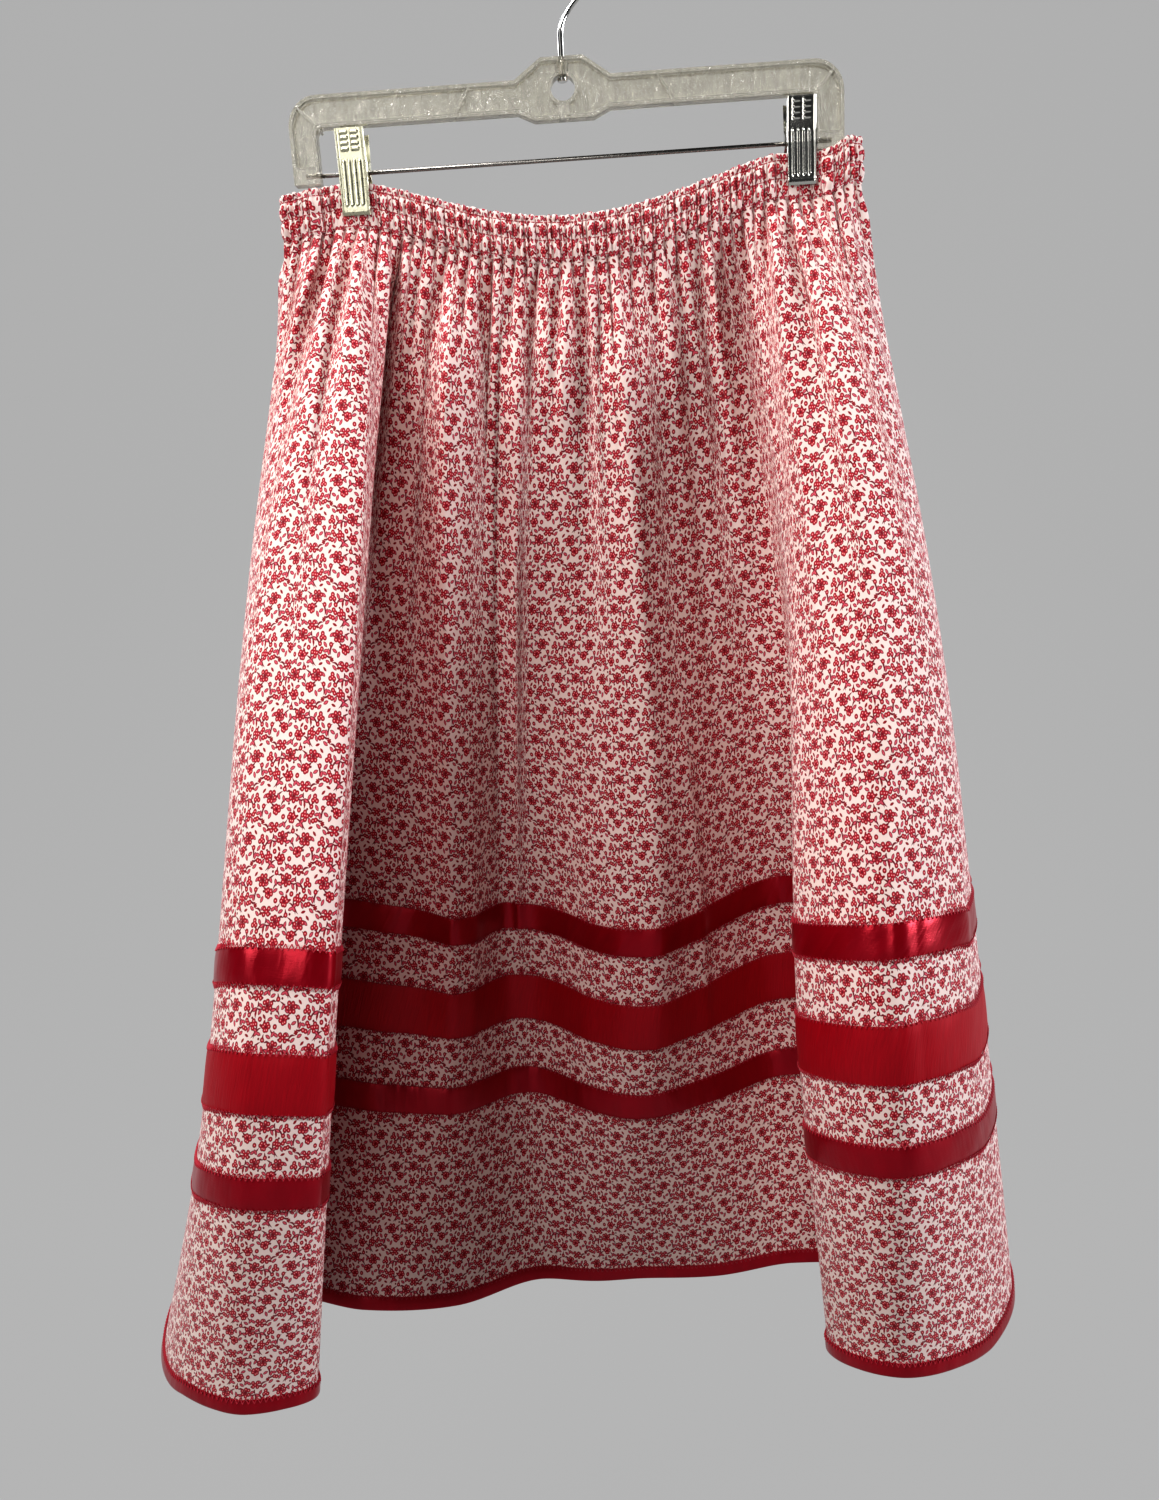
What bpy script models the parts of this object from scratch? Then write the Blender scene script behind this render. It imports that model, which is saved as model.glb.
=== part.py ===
"""A gathered cotton ribbon skirt, hung by its waist on a clear clip hanger.

Sizes are millimetres; meshes are written in metres, +Z up, the skirt's front towards -Y.
The origin is where the hanger's hook rests on a rail.
"""
import math

import bmesh
import bpy
import numpy as np

MM = 0.001

# ---- skirt, as it is cut and sewn -------------------------------------------------
SKIRT_LENGTH = 817.0        # waist edge to hem, down the cloth
WAIST_HALF = 188.0          # half the flat waist, elastic relaxed
WAIST_UNDER_ROD = 6.2       # waist edge below the rod, where the clips hold it
WAIST_HELD_HALF = 134.0     # the edge sags inside this, between the clips
WAIST_SAG = 29.5            # how far the waist edge hangs down between the clips
WAIST_RIGHT_RISE = 6.5      # lift of the edge past the right clip
WAIST_RIGHT_RISE_AT = (168.0, 179.0)
WAIST_LEFT_DROP = 5.0       # fall of the edge past the left clip
WAIST_LEFT_DROP_AT = (150.0, 180.0)
WAIST_DEPTH = 3.4           # from the middle plane to the cloth at the clips
WAIST_END_SWELL = 5.2       # the cloth passes either side of the hanger's arm ends
WAIST_END_SWELL_AT = (161.0, 167.0)
WAIST_BULGE = 7.0           # extra depth of the open waist between the clips
WAIST_SAG_POWER = 1.25      # above 1 the sagging edge is flatter at its middle
WAIST_END_POWER = 24        # how squarely the front and back meet at the side seams
WAIST_STEPS = 1501          # fine points that the even ones are measured along
CASING_HEIGHT = 28.0
CASING_WALL = 2.6           # two layers round the elastic
CASING_HEADER = 4.5         # ruffle above the upper casing stitch
GATHERS_ROUND = 104
GATHER_RAISE = 2.3
GATHER_TURN = 2.4           # each gather is this far on in the run of uneven ones
GATHER_UNEVEN = 0.22        # share by which the gathers' heights differ
GATHER_VALLEY = 0.12        # height left between two gathers, as a share of a crest
CASING_SHAPE = (
    # share of the casing's height down, share of the gather's height, step out
    (0.0, 0.8, -1.1),
    (CASING_HEADER / CASING_HEIGHT, 0.35, -0.2),
    (0.55, 1.0, 0.3),
    (1.0, 0.6, 0.0),
)
CASING_LIP = 0.4            # the inner face's distance in at the waist edge
CLIP_PINCH = 0.25           # share of the gathers' height left under a clip
CLIP_PINCH_PAST = (2.0, 10.0)   # past the clip's side, where the gathers rise again
CLOTH = 1.3                 # panel wall
STEEPEST_DROP = 0.3         # least squared share of a step that still falls
SURFACE_STEPS = 81          # fine rows the panels' rows are measured along
WAVE_FADE_POWER = 1.3       # above 1 a soft gather fades sooner than straight
WAVE_AT_CASING = 0.45       # share of a soft gather's depth at the waist edge
WAVE_FULL_AT = 70.0         # distance down at which it has its whole depth
SEAM_TRIM = 0.18            # each piece stops this far from the seam's middle
CASING_GAP = 0.8            # below the casing, whose gathers wander more than the panel
RIBBON_WALL = 1.0
RIBBON_LIFT = 0.35
BINDING_LIFT = 0.5
COLUMNS_PER_FOLD = 4

# Satin and taffeta bands, as distances up from the hem.
RIBBONS = (
    # name, lower edge, width
    ("upper_ribbon", 300.0, 22.0),
    ("wide_ribbon", 221.0, 38.0),
    ("lower_ribbon", 157.0, 22.0),
)
BINDING_HEIGHT = 10.0
BINDING_UNDER = 1.0

# Heights at which the fold table below gives the cloth's plan, down from the waist edge.
HIP_DOWN = 230.0
BAND_DOWN = 580.0

# Rows of the panels' mesh, down from the waist edge; the ribbons' own edges and the hem
# come after these.
PANEL_ROWS = (62.0, 112.0, 180.0, 270.0, 380.0)
LAST_PANEL_ROW = 738.0      # between the lowest ribbon and the hem binding

# One row for each fold line, round the skirt from the left side seam along the front and
# back along the rear. waist_x is where the line leaves the waist edge; x and y are its plan
# place at hip, band and hem. depth and run are the soft gather just after the line: how
# deep it is and how far down it reaches.
FOLD_COLUMNS = ("name", "waist_x", "hip_x", "hip_y", "band_x", "band_y", "hem_x", "hem_y",
                "depth", "run")
FRONT_FOLDS = (
    ("left_seam", -188, -212, -14, -252, -40, -318, -40, 2.0, 150),
    ("left_side", -177, -206, -48, -243, -120, -299, -118, 3.0, 220),
    ("left_shoulder", -160, -186, -80, -220, -176, -263, -168, 3.6, 240),
    ("left_crown", -143, -158, -88, -188, -198, -216, -190, 3.2, 200),
    ("left_inner", -125, -127, -82, -150, -182, -178, -168, 2.4, 180),
    ("left_valley", -109, -138, 0, -198, -10, -232, -40, 2.4, 220),
    ("centre_left", -88, -108, 4, -145, 0, -172, -40, 4.4, 420),
    ("centre_left_slope", -56, -66, 8, -92, 18, -104, -22, 4.0, 330),
    ("centre_dip", -24, -34, 14, -46, 50, -40, 14, 4.6, 380),
    ("centre_rise", 12, 22, 6, 40, 3, 38, 22, 3.8, 300),
    ("centre_right_slope", 44, 66, 9, 96, 19, 108, 17, 4.2, 360),
    ("centre_right_dip", 78, 110, 14, 152, 40, 168, 12, 3.4, 300),
    ("right_valley", 106, 142, 8, 196, 12, 224, -10, 2.6, 260),
    ("right_inner", 123, 146, -44, 151, -108, 176, -108, 2.8, 220),
    ("right_crown", 143, 176, -78, 198, -170, 210, -156, 3.4, 240),
    ("right_shoulder", 161, 208, -72, 246, -140, 260, -140, 3.0, 220),
    ("right_side", 177, 228, -40, 279, -80, 311, -82, 2.6, 180),
)
BACK_FOLDS = (
    ("right_seam", 188, 234, -4, 290, -12, 326, -14, 2.2, 150),
    ("back_right_side", 170, 220, 30, 278, 52, 318, 54, 3.0, 220),
    ("back_right_crown", 140, 188, 56, 238, 118, 270, 136, 3.6, 260),
    ("back_right_inner", 118, 156, 50, 196, 108, 226, 122, 3.0, 240),
    ("back_right_valley", 94, 136, 26, 168, 56, 192, 58, 3.8, 340),
    ("back_right_wave", 64, 98, 44, 124, 100, 142, 116, 4.2, 380),
    ("back_right_hollow", 38, 66, 30, 82, 62, 94, 66, 3.6, 300),
    ("back_middle_wave", 6, 30, 54, 36, 126, 42, 146, 4.4, 420),
    ("back_middle_turn", -18, -4, 42, -8, 104, -6, 120, 3.2, 320),
    ("back_middle_hollow", -46, -34, 24, -38, 60, -40, 62, 3.8, 320),
    ("back_left_wave", -80, -78, 42, -94, 98, -104, 112, 4.0, 360),
    ("back_left_hollow", -104, -112, 28, -138, 58, -154, 60, 3.6, 300),
    ("back_left_crown", -138, -160, 58, -198, 124, -226, 140, 3.4, 260),
    ("back_left_side", -168, -200, 26, -250, 44, -306, 52, 2.8, 200),
)

# ---- clear clip hanger ------------------------------------------------------------
# Heights here are from the middle of the boss ring, up positive.
HANGER_TILT = 2.0           # degrees, right end up
RING_DOWN = 92.0            # hang point to the middle of the boss ring
BAR_HALF = 178.0            # half the outer width
BAR_TOP = 6.0
BAR_HEIGHT = 19.0
CORNER_RADIUS = 19.0
INNER_RADIUS = 5.0
ARM_WIDTH = 17.0
ARM_END = -46.5
BOSS_TOP = 18.0
BOSS_TOP_HALF = 13.5
BOSS_FOOT_HALF = 31.0
BOSS_BOTTOM = -18.0
BOSS_BOTTOM_HALF = 19.0
FRAME_DEPTH = 9.0
WEB = 2.2
RIM = 2.2
RIB = 1.6
RING_OUTER = 9.8
RING_INNER = 7.8
SLEEVE_RADIUS = 4.2
SOCKET_HALF_HEIGHT = 5.0
SOCKET_LENGTH = 15.0
BAR_RIB = ((60.0, 5.0), (70.5, -12.0))          # ends of the slanting rib in each half
CORNER_RIB = ((172.5, 0.5), (158.0, -15.5))     # ends of the rib across each corner
RIB_INSET = 0.6             # ribs and sockets stop this far inside the rim's faces
RING_INSET = 0.3            # and the boss ring this far
SLEEVE_INSET = 0.4          # the sleeves stop this far inside the boss's edges
ROUND_STEPS = 24            # sides of the ring and its opening
HOLE_SIDES = 12
SLEEVE_SIDES = 16
CUT_PAST = (2.0, 3.0, 4.0)  # how far the opening, bore and rod hole are cut past a face
ROD_RADIUS = 1.3
ROD_BELOW_RING = 41.0
ROD_HALF = 170.0
FIT_GAP = 0.3
LEFT_CLIP_AT = -138.5       # the left clip has slid in a little
RIGHT_CLIP_AT = 150.5
CLIP_WIDTH = 18.6
CLIP_SHEET = 1.0
SPRING_RADIUS = 3.1
SPRING_HALF = 5.5
HOOK_WIRE = 1.7             # radius
HOOK_BEND = 21.0            # inside radius
HOOK_HEAD = 3.2             # radius of the riveted head in the ring
HOOK_HEAD_BELOW = (1.2, 3.6)    # the head's top and foot, below the opening's top
HOOK_STEM_BELOW = 3.2
HOOK_BEND_TURNS = (-50, 205)    # where the bend starts and ends, degrees from +x
HOOK_BEND_STEPS = 22
HOOK_FOOT = -62.0           # height at which the wire leaves the stem
HOOK_PULL = -50.7           # height its curve into the bend is pulled to
HOOK_SIDES = 10
SPRING_SIDES = 14
CLIP_EDGE = 0.5             # cut across the clip plates' outer corners

# Side view of one clip plate. up is from the rod; face is how far its outer face stands
# from the middle plane, and ear is how deep its turned-in sides are there.
CLIP_STATIONS = (
    # up, face, ear
    (25.0, 10.4, 1.8),
    (9.0, 8.6, 1.8),
    (5.5, 8.3, 6.4),
    (-1.5, 8.1, 6.2),
    (-3.2, 8.1, 1.4),
    (-22.5, 8.1, 1.4),
    (-26.5, 7.2, 1.2),
)


# ---- small geometry helpers -------------------------------------------------------
def fresh_scene():
    for thing in list(bpy.data.objects):
        bpy.data.objects.remove(thing, do_unlink=True)


def finish(name, hex_rgb, roughness, metallic=0.0, alpha=1.0):
    """A Principled material of one plain colour."""
    material = bpy.data.materials.new(name)
    material.use_nodes = True
    shader = material.node_tree.nodes["Principled BSDF"]
    rgb = [int(hex_rgb[k:k + 2], 16) / 255 for k in (0, 2, 4)]
    linear = [c / 12.92 if c <= 0.04045 else ((c + 0.055) / 1.055) ** 2.4 for c in rgb]
    shader.inputs["Base Color"].default_value = (*linear, 1.0)
    shader.inputs["Roughness"].default_value = roughness
    shader.inputs["Metallic"].default_value = metallic
    shader.inputs["Alpha"].default_value = alpha
    material.diffuse_color = (*linear, 1.0)
    return material


def add_object(name, points, faces, material, sharp_degrees=35.0):
    """One closed body from millimetre points; its faces are turned to point out."""
    mesh = bpy.data.meshes.new(name)
    mesh.from_pydata([tuple(float(c) * MM for c in p) for p in points], [], faces)
    work = bmesh.new()
    work.from_mesh(mesh)
    bmesh.ops.recalc_face_normals(work, faces=work.faces[:])
    work.to_mesh(mesh)
    work.free()
    mesh.materials.append(material)
    mesh.shade_smooth()
    mesh.set_sharp_from_angle(angle=math.radians(sharp_degrees))
    thing = bpy.data.objects.new(name, mesh)
    bpy.context.scene.collection.objects.link(thing)
    return thing


def cubic(knots, values, at):
    """Smooth curve through values at knots; values may be rows of numbers."""
    knots = np.asarray(knots, float)
    values = np.asarray(values, float)
    slopes = np.gradient(values, knots, axis=0)
    k = np.clip(np.searchsorted(knots, at, side="right") - 1, 0, len(knots) - 2)
    span = knots[k + 1] - knots[k]
    t = (np.asarray(at, float) - knots[k]) / span
    shape = (-1,) + (1,) * (values.ndim - 1)
    t = t.reshape(shape)
    span = span.reshape(shape)
    start = 2 * t ** 3 - 3 * t ** 2 + 1
    pull = t ** 3 - 2 * t ** 2 + t
    push = t ** 3 - t ** 2
    return (start * values[k] + (1 - start) * values[k + 1]
            + span * (pull * slopes[k] + push * slopes[k + 1]))


def closed_cubic(values, per_step):
    """Points on a smooth closed curve through values, per_step from each to the next."""
    values = np.asarray(values, float)
    steps = np.linalg.norm(np.roll(values, -1, axis=0) - values, axis=1) ** 0.5
    ring = np.concatenate([values[-2:], values, values[:3]])
    ring_steps = np.concatenate([steps[-2:], steps, steps[:2]])
    knots = np.concatenate([[0.0], np.cumsum(ring_steps)])
    at = np.concatenate([np.linspace(knots[2 + k], knots[3 + k], per_step, endpoint=False)
                         for k in range(len(values))])
    return cubic(knots, ring, at)


def ramp(value, limits):
    """0 before the first limit, 1 past the second, straight between."""
    return np.clip((value - limits[0]) / (limits[1] - limits[0]), 0, 1)


def tilted(points):
    """Turn millimetre points about the hang point by the hanger's tilt."""
    points = np.asarray(points, float)
    turn = math.radians(HANGER_TILT)
    out = points.copy()
    out[..., 0] = points[..., 0] * math.cos(turn) - points[..., 2] * math.sin(turn)
    out[..., 2] = points[..., 0] * math.sin(turn) + points[..., 2] * math.cos(turn)
    return out


# ---- the cloth --------------------------------------------------------------------
def waist_point(x, side):
    """Waist edge above x, before the tilt. side is -1 at the front and 1 at the back."""
    x = np.asarray(x, float)
    clip_line = -(RING_DOWN + ROD_BELOW_RING + WAIST_UNDER_ROD)
    inside = np.clip(np.abs(x) / WAIST_HELD_HALF, 0, 1)
    z = clip_line - WAIST_SAG * np.cos(inside * math.pi / 2) ** WAIST_SAG_POWER
    z = z + WAIST_RIGHT_RISE * ramp(x, WAIST_RIGHT_RISE_AT)
    z = z - WAIST_LEFT_DROP * ramp(-x, WAIST_LEFT_DROP_AT)
    depth = WAIST_DEPTH + WAIST_BULGE * np.cos(inside * math.pi / 2) ** 2
    depth = depth + WAIST_END_SWELL * ramp(np.abs(x), WAIST_END_SWELL_AT)
    rounding = np.sqrt(np.clip(1 - np.abs(x / WAIST_HALF) ** WAIST_END_POWER, 0, 1))
    return np.stack([x, side * depth * rounding, z], axis=-1)


def waist_ring(count):
    """Even points round the level waist edge from the left seam, front first."""
    fine = np.linspace(-WAIST_HALF, WAIST_HALF, WAIST_STEPS)
    ring = np.concatenate([waist_point(fine, -1), waist_point(fine[::-1], 1)[1:]])
    run = np.concatenate([[0.0], np.cumsum(np.linalg.norm(np.diff(ring, axis=0), axis=1))])
    at = np.linspace(0, run[-1], count, endpoint=False)
    return np.stack([np.interp(at, run, ring[:, k]) for k in range(3)], axis=-1)


def fold_plan(level):
    """Plan points of every fold line at hip, band or hem."""
    x = FOLD_COLUMNS.index(level + "_x")
    return np.array([(row[x], row[x + 1]) for row in FRONT_FOLDS + BACK_FOLDS], float)


def cloth_grid(downs):
    """Middle surface of the skirt: [row, column, xyz] and its outward normals.

    Each column keeps its length: where it leans out, it drops less.
    """
    folds = FRONT_FOLDS + BACK_FOLDS
    columns = len(folds) * COLUMNS_PER_FOLD
    waist = column_waist()
    plans = [closed_cubic(fold_plan(level), COLUMNS_PER_FOLD)
             for level in ("hip", "band", "hem")]
    levels = np.array([CASING_HEIGHT, HIP_DOWN, BAND_DOWN, SKIRT_LENGTH])
    fine = np.linspace(CASING_HEIGHT, SKIRT_LENGTH, SURFACE_STEPS)
    plan = cubic(levels, np.stack([waist[:, :2]] + plans), fine)
    step = fine[1] - fine[0]
    lean = np.diff(plan, axis=0) / step
    drop = step * np.sqrt(np.clip(1 - (lean ** 2).sum(axis=2), STEEPEST_DROP, 1))
    fall = np.concatenate([np.zeros((1, columns)), np.cumsum(drop, axis=0)])
    z = waist[None, :, 2] - fall
    middle = np.concatenate([plan, z[..., None]], axis=2)
    middle = middle + gather_wave(fine)[..., None] * grid_normals(middle)
    grid = np.stack([[np.interp(downs, fine, middle[:, c, k]) for k in range(3)]
                     for c in range(columns)])
    return grid.transpose(2, 0, 1)


def column_waist():
    """Where each column leaves the casing."""
    at = [row[FOLD_COLUMNS.index("waist_x")] for row in FRONT_FOLDS + BACK_FOLDS]
    seam = len(FRONT_FOLDS)
    share = np.arange(COLUMNS_PER_FOLD) / COLUMNS_PER_FOLD
    points = []
    for k, x in enumerate(at):
        after = at[(k + 1) % len(at)]
        points.append(waist_point(x + (after - x) * share, -1 if k < seam else 1))
    return tilted(np.concatenate(points) - np.array([0, 0, CASING_HEIGHT]))


def gather_wave(downs):
    """How far each column stands out of the plan because of the soft gathers."""
    rows = FRONT_FOLDS + BACK_FOLDS
    wave = np.zeros((len(downs), len(rows) * COLUMNS_PER_FOLD))
    for number, row in enumerate(rows):
        depth, run = row[-2], row[-1]
        fade = np.clip(1 - (downs - CASING_HEIGHT) / run, 0, 1) ** WAVE_FADE_POWER
        rise = WAVE_AT_CASING + (1 - WAVE_AT_CASING) * np.clip(downs / WAVE_FULL_AT, 0, 1)
        for k in range(COLUMNS_PER_FOLD):
            phase = 2 * math.pi * k / COLUMNS_PER_FOLD
            wave[:, number * COLUMNS_PER_FOLD + k] = -depth * fade * rise * math.cos(phase)
    return wave


def grid_normals(grid):
    """Outward unit normals of a closed [row, column, xyz] grid."""
    across = np.roll(grid, -1, axis=1) - np.roll(grid, 1, axis=1)
    down = np.gradient(grid, axis=0)
    normal = np.cross(down, across)
    return normal / np.linalg.norm(normal, axis=2, keepdims=True)


def wall(outer, inner, closed):
    """Points and faces of the solid between two grids of the same shape."""
    rows, columns = outer.shape[:2]
    points = np.concatenate([outer.reshape(-1, 3), inner.reshape(-1, 3)])
    inside = rows * columns
    faces = []
    wraps = columns if closed else columns - 1
    for c in range(wraps):
        after = (c + 1) % columns
        for r in range(rows - 1):
            a, b = r * columns + c, r * columns + after
            below_b, below_a = b + columns, a + columns
            faces.append((a, below_a, below_b, b))
            faces.append((inside + a, inside + b, inside + below_b, inside + below_a))
        last = (rows - 1) * columns
        faces.append((c, after, inside + after, inside + c))
        faces.append((last + c, inside + last + c, inside + last + after, last + after))
    if not closed:
        for r in range(rows - 1):
            a, b = r * columns, (r + 1) * columns
            faces.append((a, inside + a, inside + b, b))
            a, b = a + columns - 1, b + columns - 1
            faces.append((a, b, inside + b, inside + a))
    return points, faces


def looped(rows):
    """Points and faces of a ring whose section is the closed loop of rows."""
    count, columns = rows.shape[:2]
    faces = []
    for r in range(count):
        below = (r + 1) % count
        for c in range(columns):
            after = (c + 1) % columns
            faces.append((r * columns + c, below * columns + c,
                          below * columns + after, r * columns + after))
    return rows.reshape(-1, 3), faces


def trim_seam(grid):
    """Pull a piece's two side edges in, so pieces stay apart at the side seams."""
    grid = grid.copy()
    for edge, beside in ((0, 1), (-1, -2)):
        along = grid[:, beside] - grid[:, edge]
        along = along / np.linalg.norm(along, axis=1, keepdims=True)
        grid[:, edge] += along * SEAM_TRIM
    return grid


def side_columns(side):
    """Column numbers of the front or the back, both side seams included."""
    seam = len(FRONT_FOLDS) * COLUMNS_PER_FOLD
    total = seam + len(BACK_FOLDS) * COLUMNS_PER_FOLD
    if side == "front":
        return list(range(seam + 1))
    return list(range(seam, total)) + [0]


def build_cloth():
    calico = finish("calico", "D9A9A6", 0.85)
    satin = finish("satin", "B00A1C", 0.35)
    taffeta = finish("taffeta", "A80A1A", 0.5)
    band_edges = []
    for _name, lower, width in RIBBONS:
        band_edges += [SKIRT_LENGTH - lower - width, SKIRT_LENGTH - lower]
    downs = np.array([CASING_HEIGHT + CASING_GAP, *PANEL_ROWS, *band_edges,
                      LAST_PANEL_ROW, SKIRT_LENGTH - BINDING_HEIGHT, SKIRT_LENGTH])
    middle = cloth_grid(downs)
    normal = grid_normals(middle)
    for side in ("front", "back"):
        pick = side_columns(side)
        skin = middle[:, pick]
        out = normal[:, pick]
        points, faces = wall(trim_seam(skin + out * CLOTH / 2),
                             trim_seam(skin - out * CLOTH / 2), False)
        add_object(side + "_panel", points, faces, calico)
        lift = CLOTH / 2 + RIBBON_LIFT
        for name, lower, width in RIBBONS:
            first = int(np.argmin(abs(downs - (SKIRT_LENGTH - lower - width))))
            rows = slice(first, first + 2)
            points, faces = wall(trim_seam((skin + out * (lift + RIBBON_WALL))[rows]),
                                 trim_seam((skin + out * lift)[rows]), False)
            add_object(f"{name}_{side}", points, faces,
                       taffeta if name == "wide_ribbon" else satin)
        build_binding(side, skin[-2:], out[-2:], satin)


def build_binding(side, skin, out, satin):
    """Satin folded round the hem: its section is a U, open upwards."""
    down = np.array([0, 0, -1.0])
    lift = CLOTH / 2 + BINDING_LIFT
    far = lift + RIBBON_WALL
    under = down * BINDING_LIFT
    foot = down * (BINDING_LIFT + BINDING_UNDER)
    outside = [skin[0] + out[0] * far, skin[1] + out[1] * far + foot,
               skin[1] - out[1] * far + foot, skin[0] - out[0] * far]
    inside = [skin[0] + out[0] * lift, skin[1] + out[1] * lift + under,
              skin[1] - out[1] * lift + under, skin[0] - out[0] * lift]
    points, faces = wall(trim_seam(np.stack(outside)), trim_seam(np.stack(inside)), False)
    add_object("hem_binding_" + side, points, faces, satin)


def build_casing():
    """Elastic casing: fine gathers raised on the outside, a plain inside."""
    calico = finish("calico_casing", "D4A09E", 0.85)
    per_gather = 2
    count = GATHERS_ROUND * per_gather
    edge = waist_ring(count)
    along = np.roll(edge, -1, axis=0) - np.roll(edge, 1, axis=0)
    out = np.stack([along[:, 1], -along[:, 0], np.zeros(count)], axis=1)
    out = out / np.linalg.norm(out, axis=1, keepdims=True)
    number = np.arange(count) // per_gather
    uneven = 1 - GATHER_UNEVEN + GATHER_UNEVEN * np.sin(number * GATHER_TURN)
    crest = np.where(np.arange(count) % per_gather == 1, 1.0, GATHER_VALLEY) * uneven
    nearest = np.minimum(np.abs(edge[:, 0] - RIGHT_CLIP_AT),
                         np.abs(edge[:, 0] - LEFT_CLIP_AT))
    pinch = ramp(nearest - CLIP_WIDTH / 2, CLIP_PINCH_PAST)
    crest = crest * (CLIP_PINCH + (1 - CLIP_PINCH) * pinch)
    base = CASING_WALL / 2
    outer = np.stack([edge + out * (base + step + GATHER_RAISE * share * crest)[:, None]
                      - np.array([0, 0, CASING_HEIGHT * down])
                      for down, share, step in CASING_SHAPE])
    inner = np.stack([edge - out * base - np.array([0, 0, CASING_HEIGHT]),
                      edge - out * CASING_LIP])
    rows = tilted(np.concatenate([outer, inner]))
    points, faces = looped(rows)
    add_object("waist_casing", points, faces, calico, 60.0)


# ---- the hanger -------------------------------------------------------------------
def arc(middle, radius, start, end, steps):
    """Points on an arc in the hanger's plane, angles in degrees from +x."""
    turns = np.radians(np.linspace(start, end, steps))
    return [(middle[0] + radius * math.cos(t), middle[1] + radius * math.sin(t))
            for t in turns]


def from_ring(flat, depth):
    """Points (x, height over the ring) at a depth, hung from the tilted hook."""
    return tilted([(x, depth, up - RING_DOWN) for x, up in flat])


def frame_outline():
    """Right half from the boss top round the bar and arm, then its mirror."""
    bottom = BAR_TOP - BAR_HEIGHT
    inner = BAR_HALF - ARM_WIDTH
    right = [(BOSS_TOP_HALF, BOSS_TOP), (BOSS_FOOT_HALF, BAR_TOP)]
    right += arc((BAR_HALF - CORNER_RADIUS, BAR_TOP - CORNER_RADIUS), CORNER_RADIUS,
                 90, 0, 7)
    right += [(BAR_HALF, ARM_END), (inner, ARM_END)]
    right += arc((inner - INNER_RADIUS, bottom - INNER_RADIUS), INNER_RADIUS, 0, 90, 4)
    right += [(BOSS_FOOT_HALF - 1.0, bottom), (BOSS_BOTTOM_HALF, BOSS_BOTTOM)]
    left = [(-x, up) for x, up in reversed(right)]
    return right + left


def inset(outline, by):
    """The outline moved in by a rim's width; it runs clockwise."""
    points = np.array(outline, float)
    ahead = np.roll(points, -1, axis=0) - points
    ahead = ahead / np.linalg.norm(ahead, axis=1, keepdims=True)
    inward = np.stack([ahead[:, 1], -ahead[:, 0]], axis=1)
    before = np.roll(inward, 1, axis=0)
    corner = before + inward
    corner = corner / (1 + (before * inward).sum(axis=1))[:, None]
    return points + corner * by


def boxed(flat, near, far):
    """Closed slab of a flat outline between two depths."""
    count = len(flat)
    points = np.concatenate([from_ring(flat, near), from_ring(flat, far)])
    faces = [tuple(range(count)), tuple(range(2 * count - 1, count - 1, -1))]
    faces += [(k, count + k, count + (k + 1) % count, (k + 1) % count)
              for k in range(count)]
    return points, faces


def bar_between(start, end, width):
    """Four corners of a straight rib in the hanger's plane."""
    start, end = np.array(start, float), np.array(end, float)
    along = (end - start) / np.linalg.norm(end - start)
    side = np.array([-along[1], along[0]]) * width / 2
    return [tuple(p) for p in (start + side, end + side, end - side, start - side)]


def rod_points(path, radius, sides):
    """Round bar along a path of millimetre points that lie in a plane of constant y."""
    path = np.asarray(path, float)
    ahead = np.gradient(path, axis=0)
    ahead = ahead / np.linalg.norm(ahead, axis=1, keepdims=True)
    depth = np.array([0.0, 1.0, 0.0])
    side = np.cross(ahead, depth)
    turns = np.arange(sides) * 2 * math.pi / sides
    points = np.concatenate([centre + radius * (np.cos(turns)[:, None] * depth
                                                + np.sin(turns)[:, None] * out)
                             for centre, out in zip(path, side)])
    faces = [tuple(range(sides)), tuple(range(len(points) - 1, len(points) - sides - 1, -1))]
    for r in range(len(path) - 1):
        for k in range(sides):
            a, b = r * sides + k, r * sides + (k + 1) % sides
            faces.append((a, a + sides, b + sides, b))
    return points, faces


def combine(target, operation, name, points, faces):
    """Join a helper solid to the target, or cut it away."""
    tool = add_object(name, points, faces, target.data.materials[0])
    tool.hide_render = True
    tool.display_type = "WIRE"
    change = target.modifiers.new(name, "BOOLEAN")
    change.operation = operation
    change.solver = "EXACT"
    change.object = tool


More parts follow.
